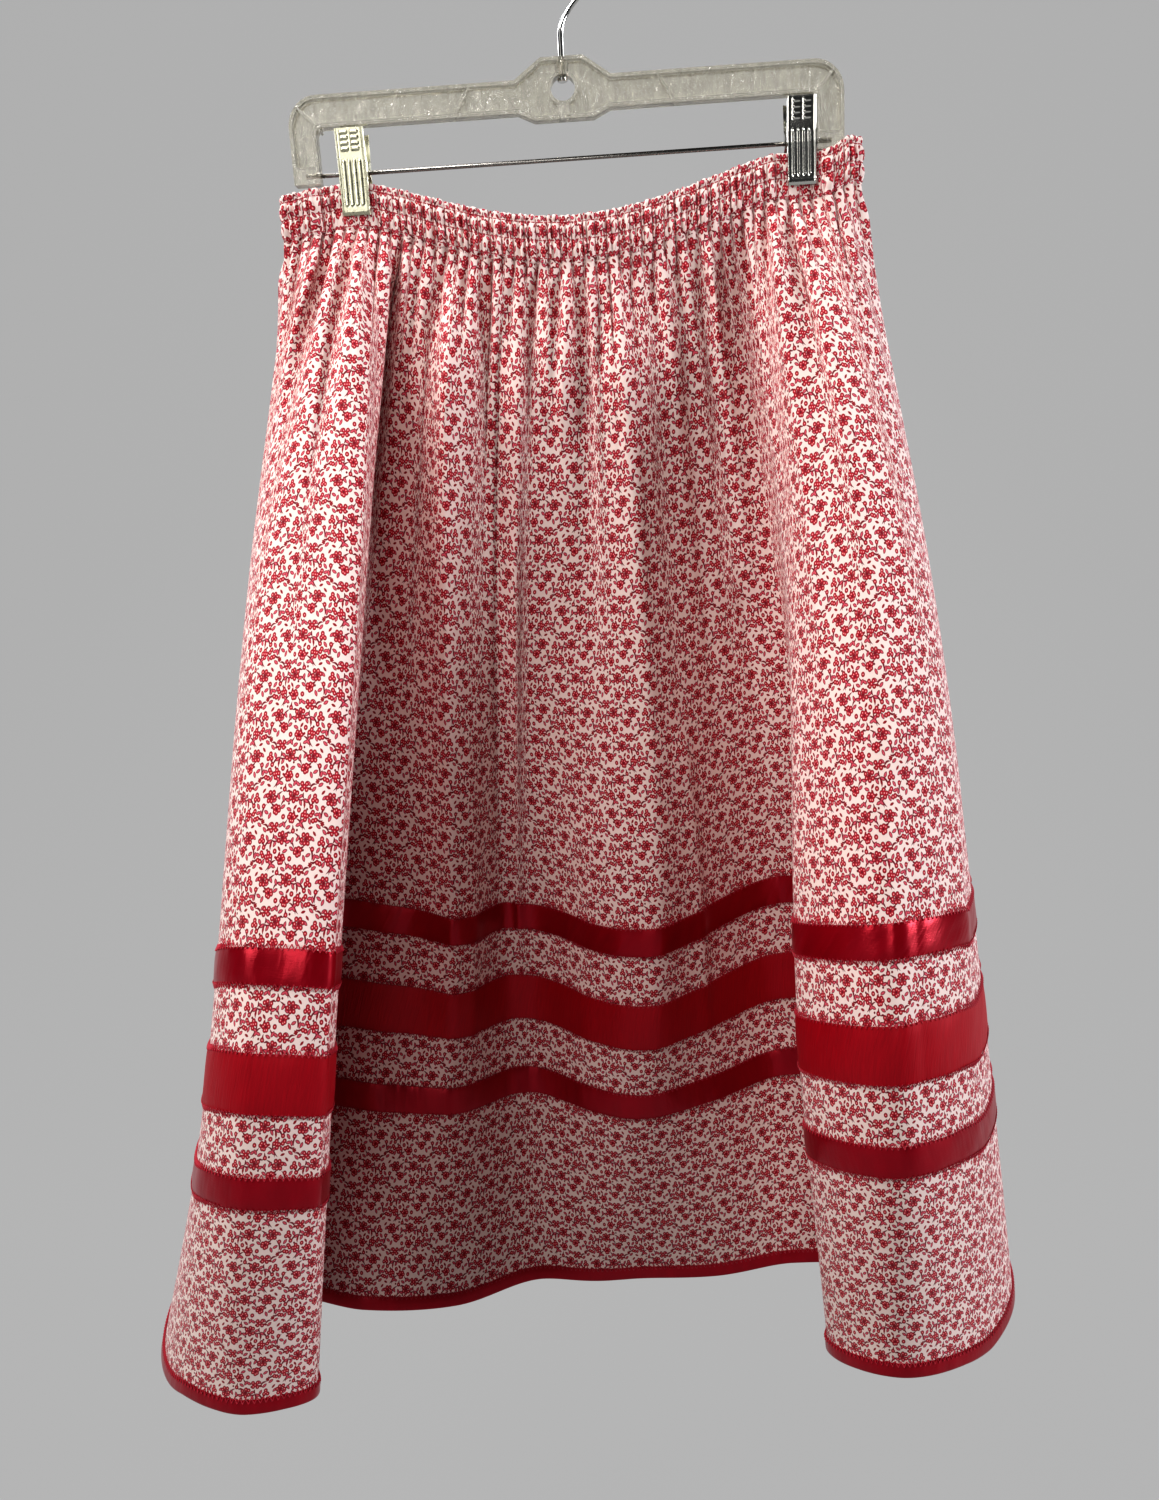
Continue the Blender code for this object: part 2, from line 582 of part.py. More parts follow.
def build_frame():
    clear = finish("clear_styrene", "D8D9D6", 0.08, alpha=0.4)
    outline = frame_outline()
    pocket = inset(outline, RIM)
    deep, thin = FRAME_DEPTH / 2, WEB / 2
    loops = [from_ring(pocket, -thin), from_ring(pocket, -deep), from_ring(outline, -deep),
             from_ring(outline, deep), from_ring(pocket, deep), from_ring(pocket, thin)]
    count = len(outline)
    faces = [tuple(range(count)), tuple(range(6 * count - 1, 5 * count - 1, -1))]
    for r in range(5):
        for k in range(count):
            a, b = r * count + k, r * count + (k + 1) % count
            faces.append((a, a + count, b + count, b))
    frame = add_object("hanger_frame", np.concatenate(loops), faces, clear, 25.0)

    rib_depth = deep - RIB_INSET
    socket_end = BAR_HALF - RIM / 2
    for side in (-1, 1):
        bar_rib = bar_between(*[(side * x, up) for x, up in BAR_RIB], RIB)
        corner_rib = bar_between(*[(side * x, up) for x, up in CORNER_RIB], RIB)
        socket = bar_between((side * socket_end, -ROD_BELOW_RING),
                             (side * (socket_end - SOCKET_LENGTH), -ROD_BELOW_RING),
                             2 * SOCKET_HALF_HEIGHT)
        label = "left" if side < 0 else "right"
        combine(frame, "UNION", f"bar_rib_{label}", *boxed(bar_rib, -rib_depth, rib_depth))
        combine(frame, "UNION", f"corner_rib_{label}",
                *boxed(corner_rib, -rib_depth, rib_depth))
        combine(frame, "UNION", f"socket_{label}", *boxed(socket, -rib_depth, rib_depth))
    past_opening, past_bore, past_hole = CUT_PAST
    round_end = 360 - 360 / ROUND_STEPS
    ring = arc((0, 0), RING_OUTER, 0, round_end, ROUND_STEPS)
    combine(frame, "UNION", "boss_ring", *boxed(ring, -deep + RING_INSET, deep - RING_INSET))
    upper = [(0, 0, BOSS_TOP - SLEEVE_INSET - RING_DOWN), (0, 0, RING_INNER - RING_DOWN)]
    lower = [(0, 0, -RING_INNER - RING_DOWN), (0, 0, BOSS_BOTTOM + SLEEVE_INSET - RING_DOWN)]
    for word, ends in (("upper", upper), ("lower", lower)):
        combine(frame, "UNION", "sleeve_" + word,
                *rod_points(tilted(ends), SLEEVE_RADIUS, SLEEVE_SIDES))
    opening = arc((0, 0), RING_INNER, 0, round_end, ROUND_STEPS)
    combine(frame, "DIFFERENCE", "ring_opening",
            *boxed(opening, -deep - past_opening, deep + past_opening))
    bore = [(0, 0, BOSS_TOP + past_bore - RING_DOWN),
            (0, 0, RING_INNER - past_opening - RING_DOWN)]
    combine(frame, "DIFFERENCE", "hook_bore",
            *rod_points(tilted(bore), HOOK_WIRE + FIT_GAP, HOLE_SIDES))
    for side in (-1, 1):
        hole = [(side * (BAR_HALF - ARM_WIDTH - past_hole), 0, -ROD_BELOW_RING - RING_DOWN),
                (side * (ROD_HALF + FIT_GAP), 0, -ROD_BELOW_RING - RING_DOWN)]
        combine(frame, "DIFFERENCE", f"rod_hole_{side}",
                *rod_points(tilted(hole), ROD_RADIUS + FIT_GAP, HOLE_SIDES))


def build_hook():
    chrome = finish("chromed_wire", "B8B8B8", 0.2, 1.0)
    radius = HOOK_BEND + HOOK_WIRE
    middle = (0.0, -HOOK_BEND)
    bend = arc(middle, radius, *HOOK_BEND_TURNS, HOOK_BEND_STEPS)
    foot = np.array((0.0, HOOK_FOOT))
    pull = np.array((0.0, HOOK_PULL))
    start = np.array(bend[0])
    rise = [tuple((1 - t) ** 2 * foot + 2 * t * (1 - t) * pull + t * t * start)
            for t in np.linspace(0, 1, 6)[:-1]]
    stem = [(0.0, RING_INNER - HOOK_STEM_BELOW - RING_DOWN)]
    path = tilted([(x, 0.0, up) for x, up in stem + rise + bend])
    hook = add_object("hanger_hook", *rod_points(path, HOOK_WIRE, HOOK_SIDES), chrome)
    head = [(0, 0, RING_INNER - below - RING_DOWN) for below in HOOK_HEAD_BELOW]
    combine(hook, "UNION", "hook_head", *rod_points(tilted(head), HOOK_HEAD, HOLE_SIDES))


def build_rod():
    steel = finish("steel_rod", "9A9A98", 0.3, 1.0)
    ends = [(x, 0, -ROD_BELOW_RING - RING_DOWN) for x in (-ROD_HALF, ROD_HALF)]
    add_object("clip_rod", *rod_points(tilted(ends), ROD_RADIUS, HOLE_SIDES), steel)


def clip_section(face, ear, side):
    """Section of a clip plate at one height: flat, with both sides turned in."""
    half = CLIP_WIDTH / 2
    flat = [(-half, ear), (-half, CLIP_EDGE), (-half + CLIP_EDGE, 0.0),
            (half - CLIP_EDGE, 0.0), (half, CLIP_EDGE), (half, ear), (half - CLIP_SHEET, ear),
            (half - CLIP_SHEET, CLIP_SHEET), (-half + CLIP_SHEET, CLIP_SHEET),
            (-half + CLIP_SHEET, ear)]
    return [(x, side * (face - depth)) for x, depth in flat]


def build_clip(label, at):
    chrome = finish(f"chromed_sheet_{label}", "C2C2BE", 0.18, 1.0)
    rod = -ROD_BELOW_RING - RING_DOWN
    for side, word in ((-1, "front"), (1, "back")):
        rows = [[(at + x, y, rod + up) for x, y in clip_section(face, ear, side)]
                for up, face, ear in CLIP_STATIONS]
        count = len(rows[0])
        faces = [tuple(range(count)),
                 tuple(range(len(rows) * count - 1, (len(rows) - 1) * count - 1, -1))]
        for r in range(len(rows) - 1):
            for k in range(count):
                a, b = r * count + k, r * count + (k + 1) % count
                faces.append((a, a + count, b + count, b))
        points = tilted(np.array(rows).reshape(-1, 3))
        add_object(f"{label}_clip_{word}", points, faces, chrome)
    reach = (-SPRING_HALF, SPRING_HALF)
    inner = ROD_RADIUS + FIT_GAP
    turns = np.arange(SPRING_SIDES) * 2 * math.pi / SPRING_SIDES
    rings = []
    for x, radius in ((reach[0], SPRING_RADIUS), (reach[1], SPRING_RADIUS),
                      (reach[1], inner), (reach[0], inner)):
        rings.append(np.stack([np.full(SPRING_SIDES, at + x), radius * np.cos(turns),
                               rod + radius * np.sin(turns)], axis=1))
    points, faces = looped(np.stack(rings))
    add_object(f"{label}_clip_spring", tilted(points), faces, chrome)


def main():
    fresh_scene()
    build_cloth()
    build_casing()
    build_frame()
    build_hook()
    build_rod()
    build_clip("left", LEFT_CLIP_AT)
    build_clip("right", RIGHT_CLIP_AT)


main()
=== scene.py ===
"""A gathered calico ribbon skirt on a clear clip hanger: cloth, sewing, plastic and metal.

Sizes in the tables are millimetres; meshes are in metres. The skirt's front is towards -Y,
and the hanger's hook rests on its rail at the origin.
"""
import math

import bmesh
import bpy
import numpy as np
from bpy.props import FloatProperty, FloatVectorProperty, PointerProperty
from mathutils import Matrix, Vector


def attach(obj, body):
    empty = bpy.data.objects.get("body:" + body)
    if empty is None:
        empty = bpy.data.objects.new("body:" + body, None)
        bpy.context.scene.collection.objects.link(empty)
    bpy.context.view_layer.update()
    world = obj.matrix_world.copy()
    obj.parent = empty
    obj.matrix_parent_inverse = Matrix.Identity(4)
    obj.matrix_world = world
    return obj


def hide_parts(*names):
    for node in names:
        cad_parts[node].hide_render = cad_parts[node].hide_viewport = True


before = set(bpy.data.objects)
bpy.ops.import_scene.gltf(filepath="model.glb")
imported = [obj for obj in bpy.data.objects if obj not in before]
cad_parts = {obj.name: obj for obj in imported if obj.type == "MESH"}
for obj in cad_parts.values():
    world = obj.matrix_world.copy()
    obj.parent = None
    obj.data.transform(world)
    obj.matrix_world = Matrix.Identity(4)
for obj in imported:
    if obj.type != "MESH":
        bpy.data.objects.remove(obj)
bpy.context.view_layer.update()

bl_info = {
    "name": "Ribbon skirt on a clip hanger",
    "version": (1, 0, 0),
    "blender": (4, 5, 0),
    "location": "3D View > Sidebar > Ribbon skirt",
    "description": "Makes a gathered ribbon skirt, its sewing and the clear hanger it is on",
    "category": "Object",
}

MM = 0.001

# ---- the skirt as it is cut and sewn ----------------------------------------------
SKIRT_LENGTH = 817.0        # waist edge to hem, down the cloth
WAIST_HALF = 188.0          # half the flat waist, elastic relaxed
WAIST_UNDER_ROD = 6.2
WAIST_HELD_HALF = 134.0
WAIST_SAG = 29.5
WAIST_RIGHT_RISE = 6.5
WAIST_RIGHT_RISE_AT = (168.0, 179.0)
WAIST_LEFT_DROP = 5.0
WAIST_LEFT_DROP_AT = (150.0, 180.0)
WAIST_DEPTH = 3.4
WAIST_END_SWELL = 5.2
WAIST_END_SWELL_AT = (161.0, 167.0)
WAIST_BULGE = 7.0
WAIST_SAG_SHAPE, WAIST_END_SQUARE = 1.25, 24    # powers: higher is a flatter curve
WAIST_POINTS = 1501
CASING_HEIGHT = 28.0
CASING_WALL = 2.6
CASING_STITCHES = ((4.6, 0.2), (15.4, 0.42), (26.4, 0.42))    # down, height on the gathers
CASING_STATIONS = (
    # distance down, height of the gathers, step out, how much the frill waves
    (0.0, 0.25, -1.0, 1.0), (0.5, 0.55, -0.5, 1.0), (1.8, 0.75, -0.3, 0.9),
    (3.4, 0.55, -0.25, 0.4), (4.6, 0.18, -0.35, 0.0), (5.8, 0.6, 0.0, 0.0),
    (8.0, 1.0, 0.25, 0.0), (10.4, 1.05, 0.35, 0.0), (13.2, 0.95, 0.25, 0.0),
    (15.4, 0.4, -0.2, 0.0), (17.4, 0.95, 0.2, 0.0), (20.6, 1.05, 0.35, 0.0),
    (23.8, 0.95, 0.25, 0.0), (26.4, 0.4, -0.2, 0.0), (28.2, 0.8, 0.0, 0.0),
    (29.6, 0.5, -0.5, 0.0),
)
CASING_INSIDE = (29.6, 20.0, 10.0, 4.6, 0.6)    # rows back up the inner face
CASING_COLUMNS = 16         # in each gather
CASING_FRILL = (0.7, 0.9)   # how far the frill waves out and up
CASING_ENDS = (26.4, 28.6)  # where it comes down onto the panels' own gathers
# The clips press the gathers to this share of their height, out to and over this far.
PRESSED_SHARE, PRESSED_OUT, PRESSED_OVER = 0.2, 2.0, 8.0
GATHERS_ROUND = 104
GATHER_RAISE = 2.6
GATHER_TURN = 2.4           # each gather is this far on in the run of uneven ones
GATHER_SHARE = 22.4         # cloth in each gather
CREST_SHOWN = 1.35          # cloth on a gather's crest, in gather widths
GATHER_FADE = 1.3
GATHER_FULL_DOWN = 92.0     # the soft gathers reach their full depth here
# Small gathers below the casing: single ones, and longer ones where two run together.
# The runs are the shortest, and what an uneven one may add.
SINGLE_HEIGHT, SINGLE_RUN = 4.6, (12.0, 34.0)
PAIRED_HEIGHT, PAIRED_RUN = 4.0, (40.0, 70.0)
PAIRED_START = (4.0, 26.0)
BACK_GATHERS = 1.4          # nothing presses the back, so its gathers stand out further
CLOTH = 1.3                 # panel wall
SEAM_TRIM = 0.18
CASING_GAP = 0.8
RIBBON_WALL = 1.0
RIBBON_LIFT = 0.35
BINDING_LIFT = 0.5
RIBBON_ROWS = 11
RIBBON_EDGE = 0.45          # wall left at a ribbon's edges
PUCKER_RUNS = (2.9, 7.3, 5.1)   # along the ribbon for a radian of each ripple
LAYER_TUCK = 0.1            # how far a ribbon's back is sunk below its lift
ZIGZAG_OUT = 0.8            # how far the zigzag's middle is outside the ribbon's edge
ZIGZAG_LEAN = 0.35
STITCH_SHARE = 0.74         # of the pitch; the rest is under the cloth
BINDING_HEIGHT = 10.0
BINDING_UNDER = 1.0
BINDING_RIPPLE, BINDING_RIPPLE_RUNS = 0.12, (3.1, 8.7)
BINDING_STATIONS = ((1.0, 0.35), (0.72, 0.8), (0.42, 1.0), (0.12, 1.0))  # height, swell
RIBBONS = (
    # name, lower edge above the hem, width
    ("upper_ribbon", 300.0, 22.0),
    ("wide_ribbon", 221.0, 38.0),
    ("lower_ribbon", 157.0, 22.0),
)
HIP_DOWN = 230.0
BAND_DOWN = 580.0
COLUMNS_PER_FOLD = 24
SHELL_ROWS, ROW_SPREAD = 112, 1.2       # rows lie closer near the gathers
FINE_ROWS = 241
FLATTEST = 0.3              # square of the least share of a step that goes down
BACK_PRINT_START = 1200.0   # how far across the print the back's left edge lies

# Fold lines, from the left side seam along the front and back along the rear. waist_x is
# where the line leaves the waist edge; x and y are its plan place at hip, band and hem;
# depth and run are the soft gather just after it.
FRONT_FOLDS = (
    ("left_seam", -188, -212, -14, -252, -40, -318, -40, 2.0, 150),
    ("left_side", -177, -206, -48, -243, -120, -299, -118, 3.0, 220),
    ("left_shoulder", -160, -186, -80, -220, -176, -263, -168, 3.6, 240),
    ("left_crown", -143, -158, -88, -188, -198, -216, -190, 3.2, 200),
    ("left_inner", -125, -127, -82, -150, -182, -178, -168, 2.4, 180),
    ("left_valley", -109, -138, 0, -198, -10, -232, -40, 2.4, 220),
    ("centre_left", -88, -108, 4, -145, 0, -172, -40, 4.4, 420),
    ("centre_left_slope", -56, -66, 8, -92, 18, -104, -22, 4.0, 330),
    ("centre_dip", -24, -34, 14, -46, 50, -40, 14, 4.6, 380),
    ("centre_rise", 12, 22, 6, 40, 3, 38, 22, 3.8, 300),
    ("centre_right_slope", 44, 66, 9, 96, 19, 108, 17, 4.2, 360),
    ("centre_right_dip", 78, 110, 14, 152, 40, 168, 12, 3.4, 300),
    ("right_valley", 106, 142, 8, 196, 12, 224, -10, 2.6, 260),
    ("right_inner", 123, 146, -44, 151, -108, 176, -108, 2.8, 220),
    ("right_crown", 143, 176, -78, 198, -170, 210, -156, 3.4, 240),
    ("right_shoulder", 161, 208, -72, 246, -140, 260, -140, 3.0, 220),
    ("right_side", 177, 228, -40, 279, -80, 311, -82, 2.6, 180),
)
BACK_FOLDS = (
    ("right_seam", 188, 234, -4, 290, -12, 326, -14, 2.2, 150),
    ("back_right_side", 170, 220, 30, 278, 52, 318, 54, 3.0, 220),
    ("back_right_crown", 140, 188, 56, 238, 118, 270, 136, 3.6, 260),
    ("back_right_inner", 118, 156, 50, 196, 108, 226, 122, 3.0, 240),
    ("back_right_valley", 94, 136, 26, 168, 56, 192, 58, 3.8, 340),
    ("back_right_wave", 64, 98, 44, 124, 100, 142, 116, 4.2, 380),
    ("back_right_hollow", 38, 66, 30, 82, 62, 94, 66, 3.6, 300),
    ("back_middle_wave", 6, 30, 54, 36, 126, 42, 146, 4.4, 420),
    ("back_middle_turn", -18, -4, 42, -8, 104, -6, 120, 3.2, 320),
    ("back_middle_hollow", -46, -34, 24, -38, 60, -40, 62, 3.8, 320),
    ("back_left_wave", -80, -78, 42, -94, 98, -104, 112, 4.0, 360),
    ("back_left_hollow", -104, -112, 28, -138, 58, -154, 60, 3.6, 300),
    ("back_left_crown", -138, -160, 58, -198, 124, -226, 140, 3.4, 260),
    ("back_left_side", -168, -200, 26, -250, 44, -306, 52, 2.8, 200),
)
# How the fullness goes: the share of a gather that hides cloth at each side, how soft a
# fold's edges are in fold cells, and the distances down over which the gathers hand it to
# the folds and the shallow folds hand it to the deep ones.
HIDDEN_SHARE, FOLD_SOFT = 0.16, 0.14
GATHERS_TO_FOLDS, SHALLOW_TO_DEEP = (46.0, 120.0), (170.0, 400.0)
# Fold lines that swallow the cloth's fullness below the gathers, for each side.
DEEP_FOLDS = {"front": (0, 5, 8, 12, 17), "back": (0, 4, 6, 9, 11, 14)}

# Creases pressed by hanging and folding: where along the side in fold cells,
# from and to down the cloth, how far it leans over its length, half width, and height (a
# trough is below zero).
CREASES = {
    "front": (
        (0.9, 32, 120, 0.1, 4.0, 4.0, -2.0), (1.6, 34, 150, 0.1, 5.0, 3.0, 2.4),
        (2.2, 32, 110, 0.0, 3.6, 3.6, -2.2), (2.75, 30, 260, 0.1, 6.0, 2.4, 3.4),
        (3.35, 30, 190, 0.1, 6.0, 2.2, 3.0), (3.9, 34, 800, 0.0, 18.0, 4.0, 7.0),
        (4.9, 30, 300, 0.1, 9.0, 9.0, -3.0), (5.3, 30, 130, 0.2, 5.0, 2.2, 2.8),
        (5.6, 30, 110, 0.3, 4.0, 2.2, 2.4), (6.4, 32, 780, 0.5, 18.0, 24.0, 22.0),
        (6.75, 30, 120, 0.1, 4.0, 2.2, 2.6), (7.3, 40, 580, 0.4, 7.0, 5.0, -5.0),
        (7.85, 34, 700, 0.1, 9.0, 24.0, 12.0), (8.25, 30, 120, 0.1, 5.0, 2.2, 3.0),
        (8.6, 30, 150, 0.0, 5.0, 2.2, 3.4), (8.95, 30, 110, 0.1, 4.0, 2.2, 2.6),
        (8.1, 84, 170, 0.5, 4.0, 4.0, -2.4), (9.1, 84, 160, -0.5, 4.0, 4.0, -2.4),
        (9.3, 32, 130, 0.1, 5.0, 2.4, 3.0), (9.75, 32, 740, -0.6, 36.0, 34.0, 19.0),
        (10.6, 38, 430, -0.1, 9.0, 9.0, -4.0), (11.0, 34, 200, -0.1, 6.0, 2.6, 3.4),
        (11.4, 32, 150, -0.2, 5.0, 2.4, 2.8), (11.9, 34, 130, -0.1, 4.0, 4.0, -2.6),
        (12.3, 32, 440, -0.6, 9.0, 9.0, -4.0), (12.9, 32, 190, 0.1, 5.0, 3.0, 2.6),
        (13.4, 34, 420, 0.1, 10.0, 5.0, 4.0), (13.9, 32, 130, 0.1, 4.0, 4.0, -2.4),
        (14.4, 29, 100, 0.1, 3.4, 3.0, -3.4), (14.9, 32, 180, 0.1, 5.0, 3.0, 2.4),
        (15.6, 34, 120, 0.1, 4.0, 4.0, -2.0), (6.9, 330, 660, 0.2, 14.0, 5.0, 4.5),
        (10.0, 340, 660, 0.0, 15.0, 5.0, 4.5), (11.2, 250, 600, 0.1, 12.0, 12.0, -5.0),
        (8.8, 400, 700, -0.3, 16.0, 16.0, 3.0), (2.4, 300, 520, 0.2, 12.0, 9.0, 1.6),
        (14.3, 380, 700, 0.1, 12.0, 12.0, -2.4), (15.4, 240, 600, -0.2, 14.0, 9.0, 2.4),
        (16.2, 420, 740, 0.1, 10.0, 10.0, -2.0),
    ),
    "back": (
        (0.8, 34, 120, 0.1, 4.0, 4.0, -2), (1.4, 36, 200, 0.1, 6.5, 2.8, 2.6),
        (2.2, 34, 300, -0.2, 8.0, 8.0, -5.4), (2.9, 36, 240, 0.1, 7.8, 3.3, 3.4),
        (3.5, 34, 130, 0, 4.2, 4.2, -2.8), (4.1, 36, 380, 0.3, 8.0, 8.0, -6.4),
        (4.7, 34, 260, 0.1, 8.3, 3.5, 4), (5.3, 34, 140, -0.1, 4.2, 4.2, -2.6),
        (5.9, 36, 220, 0.1, 7.0, 3.0, 3), (6.5, 38, 460, -0.4, 8.5, 8.5, -8.4),
        (7.1, 34, 280, 0, 8.6, 3.6, 4.2), (7.7, 36, 130, 0.1, 4.2, 4.2, -2.8),
        (8.3, 34, 240, -0.1, 7.3, 3.1, 3.2), (8.9, 36, 400, 0.3, 8.0, 8.0, -6.8),
        (9.5, 34, 180, 0.1, 6.5, 2.8, 3), (10.2, 36, 130, 0, 4.0, 4.0, -2.6),
        (10.8, 34, 320, 0.4, 9.6, 4.1, 4.4), (11.5, 36, 340, 0.1, 7.6, 7.6, -5.6),
        (12.2, 34, 180, 0.1, 6.2, 2.6, 2.8), (12.9, 34, 130, 0, 4.0, 4.0, -2.2),
        (2.5, 320, 580, 0.2, 15.6, 6.6, 3), (5.4, 300, 600, -0.2, 12.0, 12.0, -4.6),
        (7.6, 340, 640, 0.2, 16.9, 7.2, 3.6), (9.8, 340, 620, 0.2, 12.0, 12.0, -4.4),
        (12.4, 400, 700, 0.1, 15.6, 6.6, 2.2),
    ),
}

# Shares of a crease's length over which it starts and ends, and how peaked it is.
CREASE_STARTS, CREASE_ENDS, CREASE_SHAPE = (0.0, 0.12), (0.55, 1.0), 1.35

# ---- the clear clip hanger ---------------------------------------------------------
HANGER_TILT = 2.0
RING_DOWN = 92.0
BAR_HALF = 178.0
BAR_TOP = 6.0
BAR_HEIGHT = 19.0
CORNER_RADIUS = 19.0
INNER_RADIUS = 5.0
ARM_WIDTH = 17.0
ARM_END = -46.5
BOSS_TOP = 18.0
BOSS_TOP_HALF = 13.5
BOSS_FOOT_HALF = 31.0
BOSS_BOTTOM = -18.0
BOSS_BOTTOM_HALF = 19.0
FRAME_DEPTH = 9.0
WEB = 2.2
RIM = 2.2
RIB = 1.6
RING_OUTER = 9.8
RING_INNER = 7.8
SLEEVE_RADIUS = 4.2
SOCKET_HALF_HEIGHT = 5.0
SOCKET_LENGTH = 15.0
BAR_RIB = ((60.0, 5.0), (70.5, -12.0))
CORNER_RIB = ((172.5, 0.5), (158.0, -15.5))
RIB_INSET = 0.6
RING_INSET, SLEEVE_INSET = 0.3, 0.4
ROD_RADIUS = 1.3
ROD_BELOW_RING = 41.0
ROD_HALF = 170.0
ROD_CHAMFER, ROD_END = 0.5, 0.7         # its length, and the share of the radius left
FIT_GAP = 0.3
RIM_TURN = 0.7      # faces turned this far from the front get the rim's painted-shade tint
LEFT_CLIP_AT = -138.5
RIGHT_CLIP_AT = 150.5
CLIP_WIDTH = 18.6
CLIP_SHEET = 1.0
CLIP_EDGE = ((0.0, 0.7), (0.15, 0.2))   # in from the side and back from the face
CLIP_CORNER = 1.2                       # how far back the inner face turns
SPRING_RADIUS = 3.1
SPRING_HALF = 5.5
SPRING_WIRE, SPRING_COILS = 0.55, 7
CLIP_ROWS, CLIP_COLUMNS = 96, 41
# Pressed into the clip's face: short grip ribs over long flutes, and a lip at the foot.
GRIP_RIBS_UP, GRIP_RIBS_ACROSS, GRIP_RIB_HALF = (22.4, 19.2, 16.0, 12.8), (-3.4, 3.4), 2.7
FLUTES_ACROSS, FLUTE_STARTS, FLUTE_ENDS = (-5.1, -1.7, 1.7, 5.1), (-21.5, -20.0), (5.0, 7.0)
PRESSED_WIDE = 0.8
LIP_UP, LIP_WIDE = -24.6, 1.0
HOOK_WIRE = 1.7
HOOK_BEND = 21.0
HOOK_TURN = (-50, 205)                  # degrees the bend covers
HOOK_NECK = ((0.0, -62.0), (0.0, -50.7))    # where the stem starts to bend, and its pull
HOOK_STEM_END = -70.0
HOOK_TIP = (0.92, 0.55)                 # shares of the wire's radius at its rounded tip
HOOK_HEAD = 3.2
HOOK_HEAD_UPS = (1.2, 1.5, 3.2, 3.6)    # the head's rings, in from the boss ring
CLIP_STATIONS = (
    # up from the rod, outer face from the middle plane, depth of the turned-in sides
    (25.0, 10.4, 1.8),
    (9.0, 8.6, 1.8),
    (5.5, 8.3, 6.4),
    (-1.5, 8.1, 6.2),
    (-3.2, 8.1, 1.4),
    (-22.5, 8.1, 1.4),
    (-26.5, 7.2, 1.2),
)

# ---- the printed calico ------------------------------------------------------------
# The roller prints one lane of sprigs, half a repeat tall; the next lane is its mirror.
REPEAT = 46.5
LANE_WAVE = 7.0
PETAL, HEART, SPECK = 1.55, 0.85, 0.75
LEAF_SIZES = {"leaf": (2.15, 1.1), "bud": (1.8, 0.8)}    # half length and width
OUTLINE, PRINT_SOFT = 0.42, 0.12
LIGHT_DOT = (0.36, 0.16)    # radius and softness
WRONG_SIDE_GROUND = 0.62
MOTIFS_AT_ONCE = 24
PETAL_TURN, PETAL_REACH = 0.16, 0.13    # radians and share by which a petal may differ
STEM_WIDE = 0.64
# The sprigs are a little narrower than they are tall.
PRINT_ACROSS, PRINT_DOWN = 1.3, 0.94
MATHS = "ShaderNodeMath"
# kind, across, down
SPOTS = (
    ("petal", 40.4, 10.0), ("petal", 41.9, 12.2), ("petal", 40.7, 14.5),
    ("petal", 42.6, 16.5), ("petal", 44.6, 15.2), ("petal", 2.6, 8.4),
    ("petal", 18.4, 10.9), ("petal", 27.2, 3.6), ("petal", 31.2, 20.2),
    ("heart", 20.4, 4.4), ("heart", 13.4, 18.4), ("heart", 8.0, 6.4),
    ("heart", 26.2, 15.6),
    ("speck", 15.4, 8.2), ("speck", 9.4, 13.8), ("speck", 37.4, 14.0),
    ("speck", 30.6, 8.8), ("speck", 22.9, 20.4),
)
# across, down, petals, how far out, turn
BLOOMS = (
    (8.0, 6.4, 6, 2.75, 10.0), (20.4, 4.4, 6, 1.95, 0.0), (33.6, 4.9, 4, 2.3, 45.0),
    (26.2, 15.6, 6, 2.75, 30.0), (13.4, 18.4, 6, 1.95, 20.0), (36.2, 18.6, 4, 2.0, 0.0),
    (42.6, 4.2, 3, 1.7, -90.0),
)
# kind, across, down, turn
LEAVES = (
    ("leaf", 12.8, 2.9, -50), ("leaf", 14.9, 4.9, 20), ("leaf", 14.2, 11.9, 55),
    ("leaf", 11.0, 11.3, -20), ("leaf", 5.4, 13.2, 25), ("leaf", 8.4, 17.4, -65),
    ("leaf", 18.4, 16.2, 70), ("leaf", 18.4, 20.8, -30), ("leaf", 22.6, 10.4, 25),
    ("leaf", 26.0, 8.4, -55), ("leaf", 28.4, 7.6, 35), ("leaf", 31.4, 12.4, -25),
    ("leaf", 31.8, 15.6, 60), ("leaf", 36.0, 10.6, 30), ("leaf", 38.2, 6.6, -60),
    ("leaf", 44.6, 8.4, 50), ("leaf", 45.0, 12.0, -15), ("leaf", 47.0, 18.4, 30),
    ("leaf", 40.0, 18.4, 65), ("leaf", 0.8, 12.4, 80), ("leaf", 3.2, 2.9, -35),
    ("leaf", 21.8, 18.4, 15),
    ("bud", 16.6, 1.6, 30), ("bud", 38.0, 2.0, 20), ("bud", 28.0, 21.0, -50),
    ("bud", 35.0, 13.6, 80), ("bud", 41.2, 21.2, -20),
    ("bud", 3.2, 17.4, 15), ("bud", 3.2, 17.4, 75), ("bud", 3.2, 17.4, 135),
)
# from, to, bulge
STEMS = (
    (9.0, 10.0, 13.2, 15.2, 1.6), (10.8, 12.9, 17.4, 11.4, -1.4),
    (19.2, 7.8, 20.8, 13.6, 1.2), (20.2, 13.4, 23.6, 14.2, -0.8),
    (29.4, 14.6, 34.2, 11.0, 1.4), (34.2, 11.0, 33.8, 8.0, -0.8),
    (34.0, 11.2, 40.0, 11.6, -1.4), (34.8, 16.6, 33.2, 12.0, 1.0),
    (42.6, 6.6, 40.8, 9.0, 0.8), (45.4, 13.8, 49.8, 15.4, 1.2),
    (5.2, 8.4, 2.6, 14.8, 1.6), (23.6, 5.6, 31.0, 5.2, 1.8),
    (11.2, 4.6, 17.2, 3.2, -1.6), (16.6, 19.4, 22.8, 17.6, -1.5),
)
